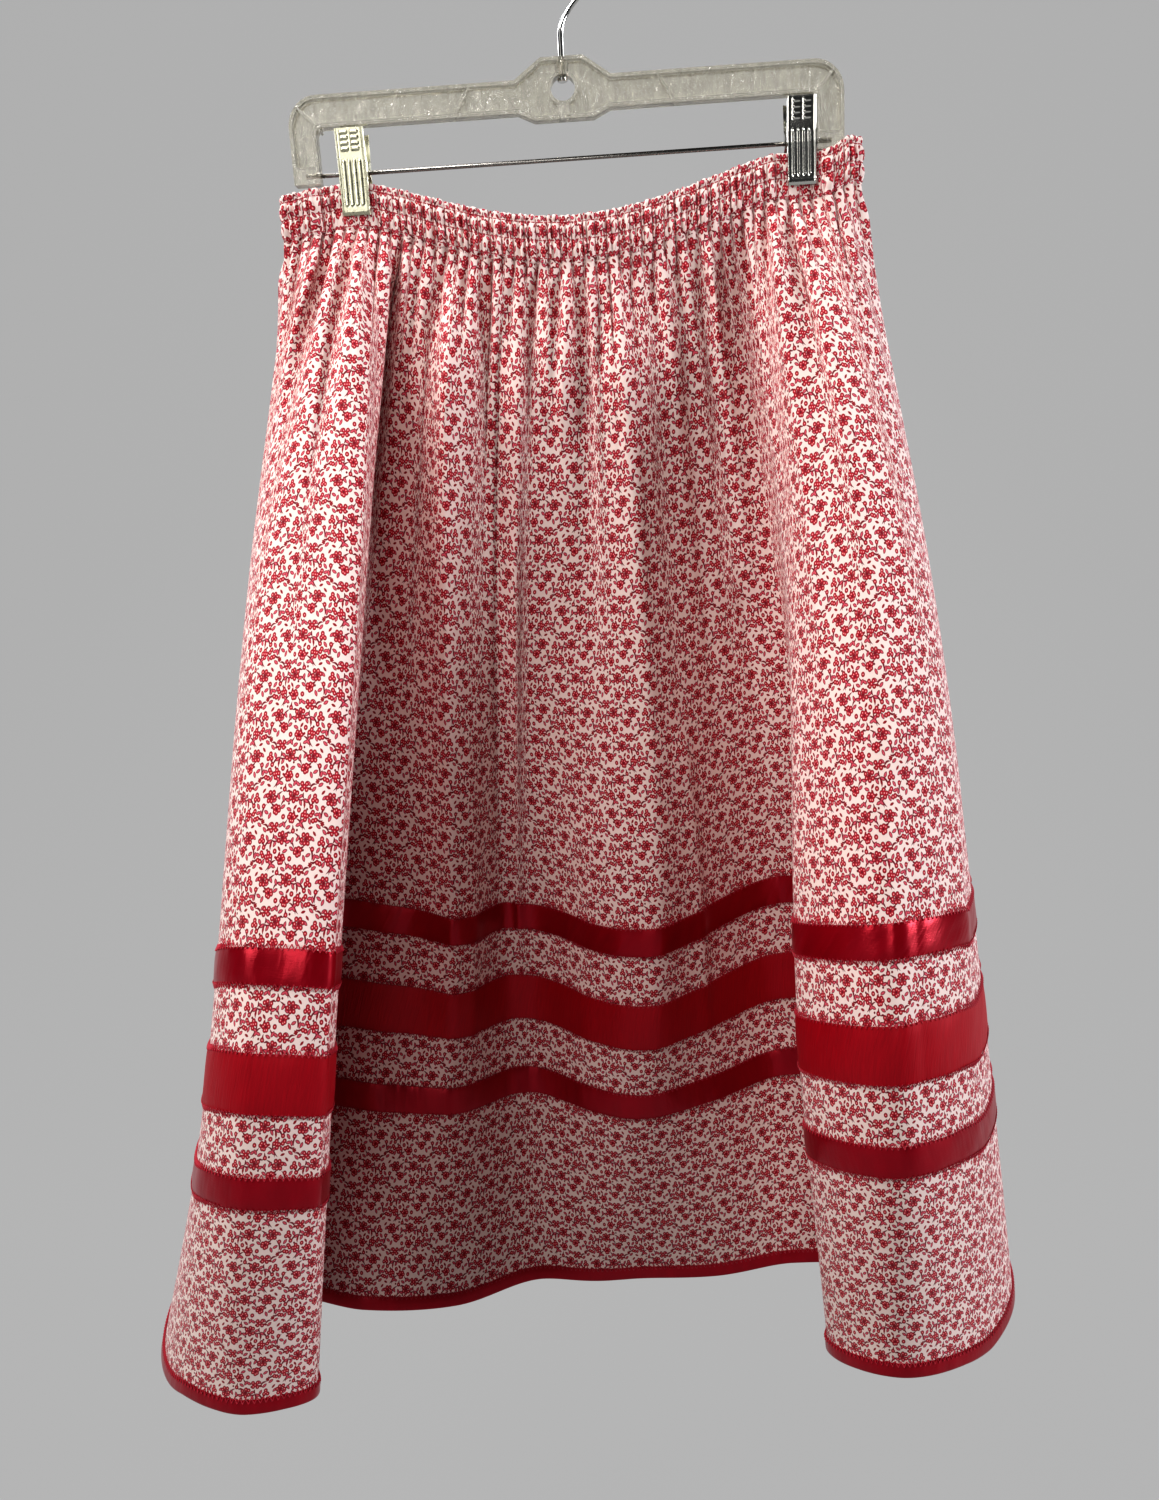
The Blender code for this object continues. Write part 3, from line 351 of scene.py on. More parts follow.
# Sprigs that reach from one lane into the next, and so are drawn in both.
CROSSING_LEAVES = (
    ("leaf", 5.4, 23.0, 40), ("leaf", 9.8, 23.4, -35), ("leaf", 23.4, 23.6, 20),
    ("bud", 27.6, 24.4, 70), ("leaf", 34.6, 23.2, -30), ("bud", 44.6, 22.8, 45),
)
CROSSING_STEMS = ((3.6, 19.4, 8.4, 25.6, -1.5), (33.0, 20.4, 37.6, 25.4, 1.4))

# ---- the stage, in metres ----------------------------------------------------------
ROOM_HALF, ROOM_TOP, COVE = 4.0, 2.6, 1.1
AIM = Vector((0.03, -0.05, -0.45))
WINDOW_AWAY = 2.0
WARM_WHITE, COOL_WHITE = "FFFCFA", "FAFAFF"
WINDOWS = (
    # name, turn from the front, angle up, size, power setting and share of it, colour
    ("high_left_window", -74, 60, 0.7, "key", 1.0, WARM_WHITE),
    ("left_window", -34, 44, 0.5, "key", 0.5, WARM_WHITE),
    ("low_left_window", -62, 12, 0.6, "fill", 1.0, WARM_WHITE),
    ("front_window", -4, 10, 0.7, "fill", 1.0, WARM_WHITE),
    ("right_window", 76, 9, 0.7, "side", 1.0, COOL_WHITE),
    ("back_left_window", -145, 30, 0.8, "back", 1.0, COOL_WHITE),
    ("back_right_window", 145, 30, 0.8, "back", 1.0, COOL_WHITE),
)
CARD_PLACE, CARD_SIZE = (-0.6, -2.1, 0.5), (1.0, 0.9)
ROOM_LIGHT = 0.05
CAMERA_LENS, CAMERA_PLACE = 27.36, (0.03055, -0.80628, -0.34006)
CAMERA_TURN, CAMERA_PITCH, CAMERA_ROLL = 1.87, 13.0, 1.3


def linear(hex_rgb):
    """Linear colour and full alpha from an sRGB hex value."""
    rgb = [int(hex_rgb[k:k + 2], 16) / 255 for k in (0, 2, 4)]
    return (*[c / 12.92 if c <= 0.04045 else ((c + 0.055) / 1.055) ** 2.4 for c in rgb], 1.0)


def darker(colour, share):
    """The colour at a share of its strength, opaque."""
    return (*[c * share for c in colour[:3]], 1.0)


def colour_setting(name, description, hex_rgb):
    return FloatVectorProperty(name=name, description=description, subtype="COLOR", size=4,
                               min=0.0, max=1.0, default=linear(hex_rgb))


def length_setting(name, description, millimetres):
    return FloatProperty(name=name, description=description, unit="LENGTH", min=0.0,
                         default=millimetres * MM)


def power_setting(name, description, watts):
    return FloatProperty(name=name, description=description, unit="POWER", min=0.0,
                         default=watts)


class CalicoSettings(bpy.types.PropertyGroup):
    ground: colour_setting("Ground", "Unprinted cotton", "F4E0DA")
    line: colour_setting("Outline", "Outlines and stems of the print", "7A0A20")
    red: colour_setting("Red", "Fill of the flowers", "BE1430")
    deep: colour_setting("Deep red", "Fill of the buds", "980A20")
    pink: colour_setting("Pink", "Fill of the leaves", "D85A6C")
    light: colour_setting("Light dots", "Dots left open in the flowers", "F7C9C6")
    repeat: length_setting("Repeat", "Height and width of the print's repeat", REPEAT)
    crease: FloatProperty(name="Creases", description="How deep the hand-set creases are",
                          subtype="FACTOR", min=0.0, max=2.0, default=1.0)


class RibbonSettings(bpy.types.PropertyGroup):
    satin: colour_setting("Satin", "Colour of the narrow ribbons and binding", "AE0026")
    taffeta: colour_setting("Taffeta", "Colour of the wide ribbon", "BA0022")
    pucker: length_setting("Pucker", "How far the sewing draws the ribbon's edges", 0.35)


class SewingSettings(bpy.types.PropertyGroup):
    pitch: length_setting("Zigzag pitch", "Length of one zig and zag", 3.7)
    width: length_setting("Zigzag width", "Width across the zigzag", 3.8)
    thread: length_setting("Thread", "Thickness of the thread", 0.6)
    straight: length_setting("Straight stitch", "Length of one casing stitch", 2.8)
    colour: colour_setting("Thread colour", "Colour of the sewing thread", "B01432")


class HangerSettings(bpy.types.PropertyGroup):
    plastic: colour_setting("Plastic", "Tint of the clear styrene", "F4F1E4")
    edge: length_setting("Edge rounding", "Radius of the moulded edges", 0.5)
    rib: length_setting("Grip ribs", "Height of the pressed ribs on the clips", 0.6)


class StageSettings(bpy.types.PropertyGroup):
    drop: length_setting("Floor", "How far the floor is below the rail", 1500.0)
    key: power_setting("Left light", "Power of the high left window, twice the next", 22.0)
    side: power_setting("Right light", "Power of the right window", 24.0)
    fill: power_setting("Fill light", "Power of the low left and front windows", 6.0)
    back: power_setting("Back lights", "Power of each window at the back", 18.0)
    card: power_setting("Card", "Power of the card the chrome reflects", 1.5)
    paper: colour_setting("Paper", "Colour of the floor and backdrop", "9E9E9E")


SETTINGS = {
    "skirt_calico": CalicoSettings,
    "skirt_ribbons": RibbonSettings,
    "skirt_sewing": SewingSettings,
    "skirt_hanger": HangerSettings,
    "skirt_stage": StageSettings,
}


# ---- curves and grids --------------------------------------------------------------
def unit(vectors):
    """The vectors in the last axis, made one long."""
    return vectors / np.linalg.norm(vectors, axis=-1, keepdims=True)


def cubic(knots, values, at):
    """Smooth curve through values at knots; values may be rows of numbers."""
    knots = np.asarray(knots, float)
    values = np.asarray(values, float)
    slopes = np.gradient(values, knots, axis=0)
    k = np.clip(np.searchsorted(knots, at, side="right") - 1, 0, len(knots) - 2)
    span = knots[k + 1] - knots[k]
    t = (np.asarray(at, float) - knots[k]) / span
    shape = (-1,) + (1,) * (values.ndim - 1)
    t, span = t.reshape(shape), span.reshape(shape)
    start = 2 * t ** 3 - 3 * t ** 2 + 1
    return (start * values[k] + (1 - start) * values[k + 1]
            + span * ((t ** 3 - 2 * t ** 2 + t) * slopes[k]
                      + (t ** 3 - t ** 2) * slopes[k + 1]))


def closed_cubic(values, per_step):
    """Points on a smooth closed curve through values, per_step from each to the next."""
    values = np.asarray(values, float)
    steps = np.linalg.norm(np.roll(values, -1, axis=0) - values, axis=1) ** 0.5
    ring = np.concatenate([values[-2:], values, values[:3]])
    ring_steps = np.concatenate([steps[-2:], steps, steps[:2]])
    knots = np.concatenate([[0.0], np.cumsum(ring_steps)])
    at = np.concatenate([np.linspace(knots[2 + k], knots[3 + k], per_step, endpoint=False)
                         for k in range(len(values))])
    return cubic(knots, ring, at)


def ramp(value, limits):
    """0 before the first limit, 1 past the second, straight between."""
    return np.clip((value - limits[0]) / (limits[1] - limits[0]), 0, 1)


def eased(value, limits):
    """As ramp, with soft ends."""
    t = ramp(value, limits)
    return t * t * (3 - 2 * t)


def tilted(points):
    """Turn millimetre points about the hang point by the hanger's tilt."""
    points = np.asarray(points, float)
    turn = math.radians(HANGER_TILT)
    out = points.copy()
    out[..., 0] = points[..., 0] * math.cos(turn) - points[..., 2] * math.sin(turn)
    out[..., 2] = points[..., 0] * math.sin(turn) + points[..., 2] * math.cos(turn)
    return out


def waist_point(x, side):
    """Waist edge above x, before the tilt. side is -1 at the front and 1 at the back."""
    x = np.asarray(x, float)
    clip_line = -(RING_DOWN + ROD_BELOW_RING + WAIST_UNDER_ROD)
    inside = np.clip(np.abs(x) / WAIST_HELD_HALF, 0, 1)
    z = clip_line - WAIST_SAG * np.cos(inside * math.pi / 2) ** WAIST_SAG_SHAPE
    z = z + WAIST_RIGHT_RISE * ramp(x, WAIST_RIGHT_RISE_AT)
    z = z - WAIST_LEFT_DROP * ramp(-x, WAIST_LEFT_DROP_AT)
    depth = WAIST_DEPTH + WAIST_BULGE * np.cos(inside * math.pi / 2) ** 2
    depth = depth + WAIST_END_SWELL * ramp(np.abs(x), WAIST_END_SWELL_AT)
    rounding = np.sqrt(np.clip(1 - np.abs(x / WAIST_HALF) ** WAIST_END_SQUARE, 0, 1))
    return np.stack([x, side * depth * rounding, z], axis=-1)


def waist_run():
    """Fine points round the level waist edge and how far round each is."""
    fine = np.linspace(-WAIST_HALF, WAIST_HALF, WAIST_POINTS)
    ring = np.concatenate([waist_point(fine, -1), waist_point(fine[::-1], 1)[1:]])
    run = np.concatenate([[0.0], np.cumsum(np.linalg.norm(np.diff(ring, axis=0), axis=1))])
    return ring, run


def column_waist_x():
    """Waist x and side of every column of the cloth."""
    at = [row[1] for row in FRONT_FOLDS + BACK_FOLDS]
    share = np.arange(COLUMNS_PER_FOLD) / COLUMNS_PER_FOLD
    x = np.concatenate([a + (at[(k + 1) % len(at)] - a) * share for k, a in enumerate(at)])
    front = np.arange(len(x)) < len(FRONT_FOLDS) * COLUMNS_PER_FOLD
    return x, np.where(front, -1, 1)


def column_gathers():
    """Which casing gather each column hangs from, as a running number."""
    x, side = column_waist_x()
    ring, run = waist_run()
    half = len(ring) // 2 + 1
    ahead = np.interp(x, ring[:half, 0], run[:half])
    behind = np.interp(-x, -ring[half - 1:, 0], run[half - 1:])
    return np.where(side < 0, ahead, behind) / run[-1] * GATHERS_ROUND


def fold_plan(first):
    return np.array([row[first:first + 2] for row in FRONT_FOLDS + BACK_FOLDS], float)


def gather_wave(downs):
    """How far each column stands out because of the soft gathers."""
    rows = FRONT_FOLDS + BACK_FOLDS
    depth, run = (np.repeat([row[k] for row in rows], COLUMNS_PER_FOLD) for k in (-2, -1))
    phase = np.tile(np.arange(COLUMNS_PER_FOLD), len(rows)) * 2 * math.pi / COLUMNS_PER_FOLD
    fade = np.clip(1 - (downs[:, None] - CASING_HEIGHT) / run, 0, 1) ** GATHER_FADE
    rise = 0.1 + 0.9 * eased(downs[:, None], (CASING_HEIGHT, GATHER_FULL_DOWN))
    return -depth * fade * rise * np.cos(phase)


def fine_gathers(downs):
    """The small gathers that leave the casing and run out, some sooner than others."""
    number = column_gathers()
    whole = np.floor(number)
    uneven = 0.5 + 0.5 * np.sin(whole * GATHER_TURN)
    other = 0.5 + 0.5 * np.sin(whole * 1.7 + 1.0)
    crest = np.sin(math.pi * (number - whole)) ** 1.2 - 0.6
    below = downs[:, None] - CASING_HEIGHT
    single = np.exp(-below / (SINGLE_RUN[0] + SINGLE_RUN[1] * uneven))
    pairs = np.cos(math.pi * number + 0.8) * eased(below, PAIRED_START)
    paired = np.exp(-below / (PAIRED_RUN[0] + PAIRED_RUN[1] * other)) * (0.5 + uneven)
    wave = (SINGLE_HEIGHT * (0.7 + 0.5 * other) * single * crest
            + PAIRED_HEIGHT * paired * pairs)
    return wave * np.where(column_waist_x()[1] < 0, 1.0, BACK_GATHERS)


def grid_normals(grid):
    """Outward unit normals of a closed [row, column, xyz] grid."""
    across = np.roll(grid, -1, axis=1) - np.roll(grid, 1, axis=1)
    return unit(np.cross(np.gradient(grid, axis=0), across))


def run_along(grid):
    """How far along its row each point of a grid is."""
    steps = np.linalg.norm(np.diff(grid, axis=1), axis=2)
    return np.concatenate([np.zeros((len(grid), 1)), np.cumsum(steps, axis=1)], axis=1)


def side_columns(side):
    """Column numbers of the front or the back, both side seams included."""
    seam = len(FRONT_FOLDS) * COLUMNS_PER_FOLD
    total = seam + len(BACK_FOLDS) * COLUMNS_PER_FOLD
    return list(range(seam + 1)) if side == "front" else list(range(seam, total)) + [0]


def crease_offsets(grid, fine, amount):
    """The listed creases, as distances along the normals of the closed grid."""
    offset = np.zeros(grid.shape[:2])
    for side, creases in CREASES.items():
        pick = side_columns(side)
        along = run_along(grid[:, pick])
        cells = np.arange(len(pick)) / COLUMNS_PER_FOLD
        part = np.zeros(along.shape)
        for cell, start, end, lean, left, right, height in creases:
            share = ramp(fine, (start, end))
            window = eased(share, CREASE_STARTS) * (1 - eased(share, CREASE_ENDS))
            window = np.where((fine < start) | (fine > end), 0, window)
            line = np.array([np.interp(cell + lean * s, cells, row)
                             for s, row in zip(share, along)])
            past = along - line[:, None]
            width = np.where(past < 0, left, right)
            part += height * window[:, None] * np.exp(-np.abs(past / width) ** CREASE_SHAPE)
        offset[:, pick[1:-1]] += amount * part[:, 1:-1]
    return offset


def cloth_surface():
    """Fine middle surface of the skirt below the casing, by distance down the cloth."""
    x, side = column_waist_x()
    waist = np.where(side[:, None] < 0, waist_point(x, -1), waist_point(x, 1))
    waist = tilted(waist - np.array([0, 0, CASING_HEIGHT]))
    plans = [closed_cubic(fold_plan(first), COLUMNS_PER_FOLD) for first in (2, 4, 6)]
    levels = np.array([CASING_HEIGHT, HIP_DOWN, BAND_DOWN, SKIRT_LENGTH])
    fine = np.linspace(CASING_HEIGHT, SKIRT_LENGTH, FINE_ROWS)
    plan = cubic(levels, np.stack([waist[:, :2]] + plans), fine)
    step = fine[1] - fine[0]
    lean = np.diff(plan, axis=0) / step
    # No step of cloth lies flatter than this lets it.
    drop = step * np.sqrt(np.clip(1 - (lean ** 2).sum(axis=2), FLATTEST, 1))
    fall = np.concatenate([np.zeros((1, len(x))), np.cumsum(drop, axis=0)])
    middle = np.concatenate([plan, (waist[None, :, 2] - fall)[..., None]], axis=2)
    amount = bpy.context.scene.skirt_calico.crease
    wave = gather_wave(fine) + fine_gathers(fine) + crease_offsets(middle, fine, amount)
    return fine, middle + wave[..., None] * grid_normals(middle)


def rows_at(fine, surface, downs):
    """The surface and its outward normals at the given distances down the cloth."""
    normal = grid_normals(surface)
    k = np.clip(np.searchsorted(fine, downs, side="right") - 1, 0, len(fine) - 2)
    t = ((downs - fine[k]) / (fine[k + 1] - fine[k]))[:, None, None]
    return (surface[k] * (1 - t) + surface[k + 1] * t,
            unit(normal[k] * (1 - t) + normal[k + 1] * t))


def cloth_across(side, grid, downs, hem):
    """How far across the flat cloth each point is, in millimetres.

    The print keeps its true size on the crests; the fullness goes into the gathers near
    the waist and into the deep folds lower down.
    """
    pick = side_columns(side)
    cells = (len(pick) - 1) // COLUMNS_PER_FOLD
    number = column_gathers()[pick]
    if number[-1] < number[0]:
        number[-1] += GATHERS_ROUND
    part = number - np.floor(number)
    stairs = (np.floor(number) + eased(part, (0.0, HIDDEN_SHARE)) / 2
              + eased(part, (1 - HIDDEN_SHARE, 1.0)) / 2)
    crests = [int((k + 0.5) * COLUMNS_PER_FOLD) for k in range(cells)]
    crests = [0] + crests + [len(pick) - 1]
    along, hem_along = run_along(grid), run_along(hem)
    spare = np.diff(hem_along[:, crests], axis=1) - np.diff(along[:, crests], axis=1)
    column = np.arange(len(pick)) / COLUMNS_PER_FOLD
    fold = [eased(column, (k - FOLD_SOFT, k + FOLD_SOFT)) for k in range(cells + 1)]
    fold[0] = np.ones(len(pick))
    fold[-1] = np.zeros(len(pick))
    deep = DEEP_FOLDS[side]
    near = 1 - eased(downs, GATHERS_TO_FOLDS)[:, None]
    low = eased(downs, SHALLOW_TO_DEEP)[:, None]
    across = along.copy()
    for k in range(cells + 1):
        start, end = stairs[crests[k]], stairs[crests[k + 1]]
        gathers = np.clip((stairs - start) / max(end - start, 1e-6), 0, 1)
        before = max(d for d in deep if d <= k)
        after = min(d for d in deep if d >= k)
        share = (k - before) / max(after - before, 1)
        swallowed = (1 - share) * fold[before] + share * fold[after]
        kernel = near * gathers + (1 - near) * ((1 - low) * fold[k] + low * swallowed)
        across += spare[:, k:k + 1] * kernel
    return across


# ---- meshes ------------------------------------------------------------------------
def wall(outer, inner):
    """Points and faces of the solid between two grids of the same shape."""
    rows, columns = outer.shape[:2]
    inside = rows * columns
    number = np.arange(inside).reshape(rows, columns)
    left, right = number[:, :-1], number[:, 1:]
    faces = [np.stack([left[:-1], left[1:], right[1:], right[:-1]], -1).reshape(-1, 4),
             np.stack([left[:-1], right[:-1], right[1:], left[1:]], -1).reshape(-1, 4)
             + inside,
             np.stack([left[0], right[0], right[0] + inside, left[0] + inside], -1),
             np.stack([left[-1], left[-1] + inside, right[-1] + inside, right[-1]], -1)]
    for edge, turn in ((number[:, 0], 1), (number[:, -1], -1)):
        near, far = edge[:-1], edge[1:]
        faces.append(np.stack([near, near + inside, far + inside, far], -1)[:, ::turn])
    points = np.concatenate([outer.reshape(-1, 3), inner.reshape(-1, 3)])
    return points, np.concatenate(faces)


def looped(rows):
    """Points and faces of a ring whose section is the closed loop of rows."""
    number = np.arange(rows.shape[0] * rows.shape[1]).reshape(rows.shape[:2])
    below = np.roll(number, -1, axis=0)
    faces = np.stack([number, below, np.roll(below, -1, axis=1),
                      np.roll(number, -1, axis=1)], -1)
    return rows.reshape(-1, 3), faces.reshape(-1, 4)


def trim_seam(grid):
    """Pull a piece's two side edges in, so pieces stay apart at the side seams."""
    grid = grid.copy()
    for edge, beside in ((0, 1), (-1, -2)):
        grid[:, edge] += unit(grid[:, beside] - grid[:, edge]) * SEAM_TRIM
    return grid


def ring_faces(rings, count):
    """Faces of a tube of rings, each of count points, with flat ends."""
    total = rings * count
    faces = [tuple(range(count)), tuple(range(total - 1, total - count - 1, -1))]
    for first in range(0, total - count, count):
        for k in range(count):
            a, b = first + k, first + (k + 1) % count
            faces.append((a, a + count, b + count, b))
    return faces


def flat_places(across, down):
    """Where a grid's points lie on the flat cloth, row by row."""
    grids = np.broadcast_arrays(across, np.asarray(down)[:, None])
    return np.stack(grids, -1).reshape(-1, 2)


def make_piece(name, points, faces, material, flat=None, wrong_side=None, sharp=40.0):
    """A mesh object from millimetre points, with its place on the flat cloth if given."""
    mesh = bpy.data.meshes.new(name)
    mesh.from_pydata((np.asarray(points, float) * MM).tolist(), [],
                     [tuple(int(k) for k in f) for f in faces])
    if flat is not None:
        layer = mesh.uv_layers.new(name="cloth")
        corner = np.zeros(len(mesh.loops), np.int64)
        mesh.loops.foreach_get("vertex_index", corner)
        places = np.asarray(flat)[corner] * MM
        layer.data.foreach_set("uv", places.astype(np.float32).ravel())
    if wrong_side is not None:
        store = mesh.attributes.new("wrong_side", "FLOAT", "POINT")
        store.data.foreach_set("value", np.asarray(wrong_side, np.float32))
    mesh.materials.append(material)
    mesh.shade_smooth()
    mesh.set_sharp_from_angle(angle=math.radians(sharp))
    thing = bpy.data.objects.new(name, mesh)
    bpy.context.scene.collection.objects.link(thing)
    return thing


def make_layer(name, outer, inner, material, flat, sharp, wrong_side=None):
    """A strip of cloth between two grids, kept off its neighbours at the side seams."""
    points, faces = wall(trim_seam(outer), trim_seam(inner))
    return make_piece(name, points, faces, material, np.concatenate([flat, flat]),
                      wrong_side, sharp)


def set_piece(thing, slot, *nodes):
    """The piece rides on the skirt's one body and stands for its CAD nodes."""
    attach(thing, "root")
    if nodes:
        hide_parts(*nodes)
    return thing


def plain_mesh(thing):
    """The piece with its modifiers made part of a plain mesh."""
    graph = bpy.context.evaluated_depsgraph_get()
    mesh = bpy.data.meshes.new_from_object(thing.evaluated_get(graph))
    thing.modifiers.clear()
    old = thing.data
    thing.data = mesh
    mesh.name = thing.name
    bpy.data.meshes.remove(old)
    return thing


# ---- materials ---------------------------------------------------------------------
def live(source):
    """The socket given, or the first output that a given node uses."""
    if isinstance(source, bpy.types.NodeSocket):
        return source
    return next(socket for socket in source.outputs if socket.enabled)


def add_node(tree, kind, settings=None, *values, into=None, **named):
    """A node with its settings, or only its operation, linked into a socket if one is
    given. Its inputs, in order, by name or as in0, in1 by number, are constants, nodes
    or sockets."""
    node = tree.nodes.new(kind)
    if isinstance(settings, str):
        settings = {"operation": settings}
    inputs = dict(enumerate(values))
    for key, value in named.items():
        inputs[int(key[2:]) if key.startswith("in") else key.replace("_", " ")] = value
    for key, value in (settings or {}).items():
        if isinstance(key, str) and hasattr(node, key):
            setattr(node, key, value)
        else:
            inputs[key] = value
    for key, value in inputs.items():
        if isinstance(value, (bpy.types.Node, bpy.types.NodeSocket)):
            tree.links.new(live(value), node.inputs[key])
        else:
            node.inputs[key].default_value = value
    if into is not None:
        tree.links.new(live(node), into)
    return node


def new_material(name, **values):
    """A Principled material with constant settings."""
    material = bpy.data.materials.new(name)
    material.use_nodes = True
    shader = material.node_tree.nodes["Principled BSDF"]
    for key, value in values.items():
        shader.inputs[key.replace("_", " ")].default_value = value
    material.diffuse_color = shader.inputs["Base Color"].default_value
    return material, material.node_tree, shader


def lens(long, wide):
    """Radius of the two arcs of a leaf, and how far their middles stand off its own."""
    radius = (long * long + wide * wide) / (2 * wide)
    return radius, radius - wide


def lane_edge(across):
    return LANE_WAVE * math.cos(2 * math.pi * across / REPEAT)


def print_distances(tree, mm):
    """Distances to the print's motifs, by kind, over one lane that repeats mirrored."""
    u, v = add_node(tree, "ShaderNodeSeparateXYZ", None, mm).outputs[:2]
    wave = add_node(tree, MATHS, "MULTIPLY", u, 2 * math.pi / REPEAT)
    wave = add_node(tree, MATHS, "COSINE", wave)
    lane = add_node(tree, MATHS, "MULTIPLY_ADD", wave, -LANE_WAVE, v)
    lane = add_node(tree, MATHS, "DIVIDE", lane, REPEAT / 2)
    lane = add_node(tree, MATHS, "FLOOR", lane)
    down = add_node(tree, MATHS, "MULTIPLY_ADD", lane, -REPEAT / 2, v)
    sign = add_node(tree, MATHS, "FLOORED_MODULO", lane, 2.0)
    sign = add_node(tree, MATHS, "MULTIPLY_ADD", sign, -2.0, 1.0)
    across = add_node(tree, MATHS, "MULTIPLY", u, sign)
    halves = [add_node(tree, MATHS, "WRAP", across, middle + REPEAT / 2,
                       middle - REPEAT / 2)
              for middle in (REPEAT * 0.25, REPEAT * 0.75)]
    found = {}
    chain = {"count": 0, "last": None, "frames": None}

    def fresh_frames():
        # A vanishing share of the last distance is added, so that the renderer finishes
        # one group of motifs before it starts the next and keeps few values at once.
        chain["frames"] = []
        for half in halves:
            frame_node = add_node(tree, "ShaderNodeCombineXYZ", None, half, down)
            if chain["last"] is not None:
                add_node(tree, MATHS, "MULTIPLY", chain["last"], 1e-6,
                         into=frame_node.inputs[2])
            chain["frames"].append(frame_node)

    def from_point(x, y, over):
        """How far each place of a motif's frame is from a point of the print."""
        shift, seen = over
        return add_node(tree, "ShaderNodeVectorMath", "DISTANCE", seen, (x + shift, y, 0.0))

    def over_half(x):
        """The frame a motif is measured in, and the whole repeats to shift it by."""
        if chain["count"] % MOTIFS_AT_ONCE == 0:
            fresh_frames()
        chain["count"] += 1
        return (x % REPEAT) - x, chain["frames"][int(x % REPEAT >= REPEAT / 2)]

    def keep(kind, value):
        if kind in found:
            value = add_node(tree, MATHS, "MINIMUM", found[kind], value)
        found[kind] = chain["last"] = value

    for kind, x, y in SPOTS:
        keep(kind, from_point(x, y + lane_edge(x), over_half(x)))
    for x, y, petals, reach, turn in BLOOMS:
        y = y + lane_edge(x)
        for k in range(petals):
            # No two petals sit quite alike.
            angle = (math.radians(turn + 360 * k / petals)
                     + PETAL_TURN * math.sin(3.1 * k + y))
            out = reach * (1 + PETAL_REACH * math.sin(2.4 * k + x))
            keep("petal", from_point(x + out * math.cos(angle), y + out * math.sin(angle),
                                     over_half(x)))
        keep("petal", from_point(x, y, over_half(x)))
    leaves = LEAVES + CROSSING_LEAVES + tuple(
        (kind, REPEAT - x, y - REPEAT / 2, -turn) for kind, x, y, turn in CROSSING_LEAVES)
    for kind, x, y, turn in leaves:
        y = y + lane_edge(x)
        off = lens(*LEAF_SIZES[kind])[1]
        angle = math.radians(turn + 90)
        dx, dy = off * math.cos(angle), off * math.sin(angle)
        over = over_half(x)
        keep(kind, add_node(tree, MATHS, "MAXIMUM", from_point(x + dx, y + dy, over),
                            from_point(x - dx, y - dy, over)))
    stems = STEMS + CROSSING_STEMS + tuple(
        (REPEAT - x0, y0 - REPEAT / 2, REPEAT - x1, y1 - REPEAT / 2, -bulge)
        for x0, y0, x1, y1, bulge in CROSSING_STEMS)
    for x0, y0, x1, y1, bulge in stems:
        start = np.array([x0, y0 + lane_edge(x0)])
        end = np.array([x1, y1 + lane_edge(x1)])
        half = np.linalg.norm(end - start) / 2
        middle = (start + end) / 2
        across_stem = np.array([-(end - start)[1], (end - start)[0]]) / (2 * half)
        across_stem = across_stem * (1 if bulge > 0 else -1)
        over = over_half(middle[0])
        edges = []
        for rise in (abs(bulge) + STEM_WIDE, abs(bulge) - STEM_WIDE):
            radius = (half * half + rise * rise) / (2 * rise)
            centre = middle + across_stem * (rise - radius)
            edges.append((from_point(centre[0], centre[1], over), float(radius)))
        within = add_node(tree, MATHS, "SUBTRACT", *edges[0])
        beyond = add_node(tree, MATHS, "SUBTRACT", *reversed(edges[1]))
        keep("stem", add_node(tree, MATHS, "MAXIMUM", within, beyond))
    return found


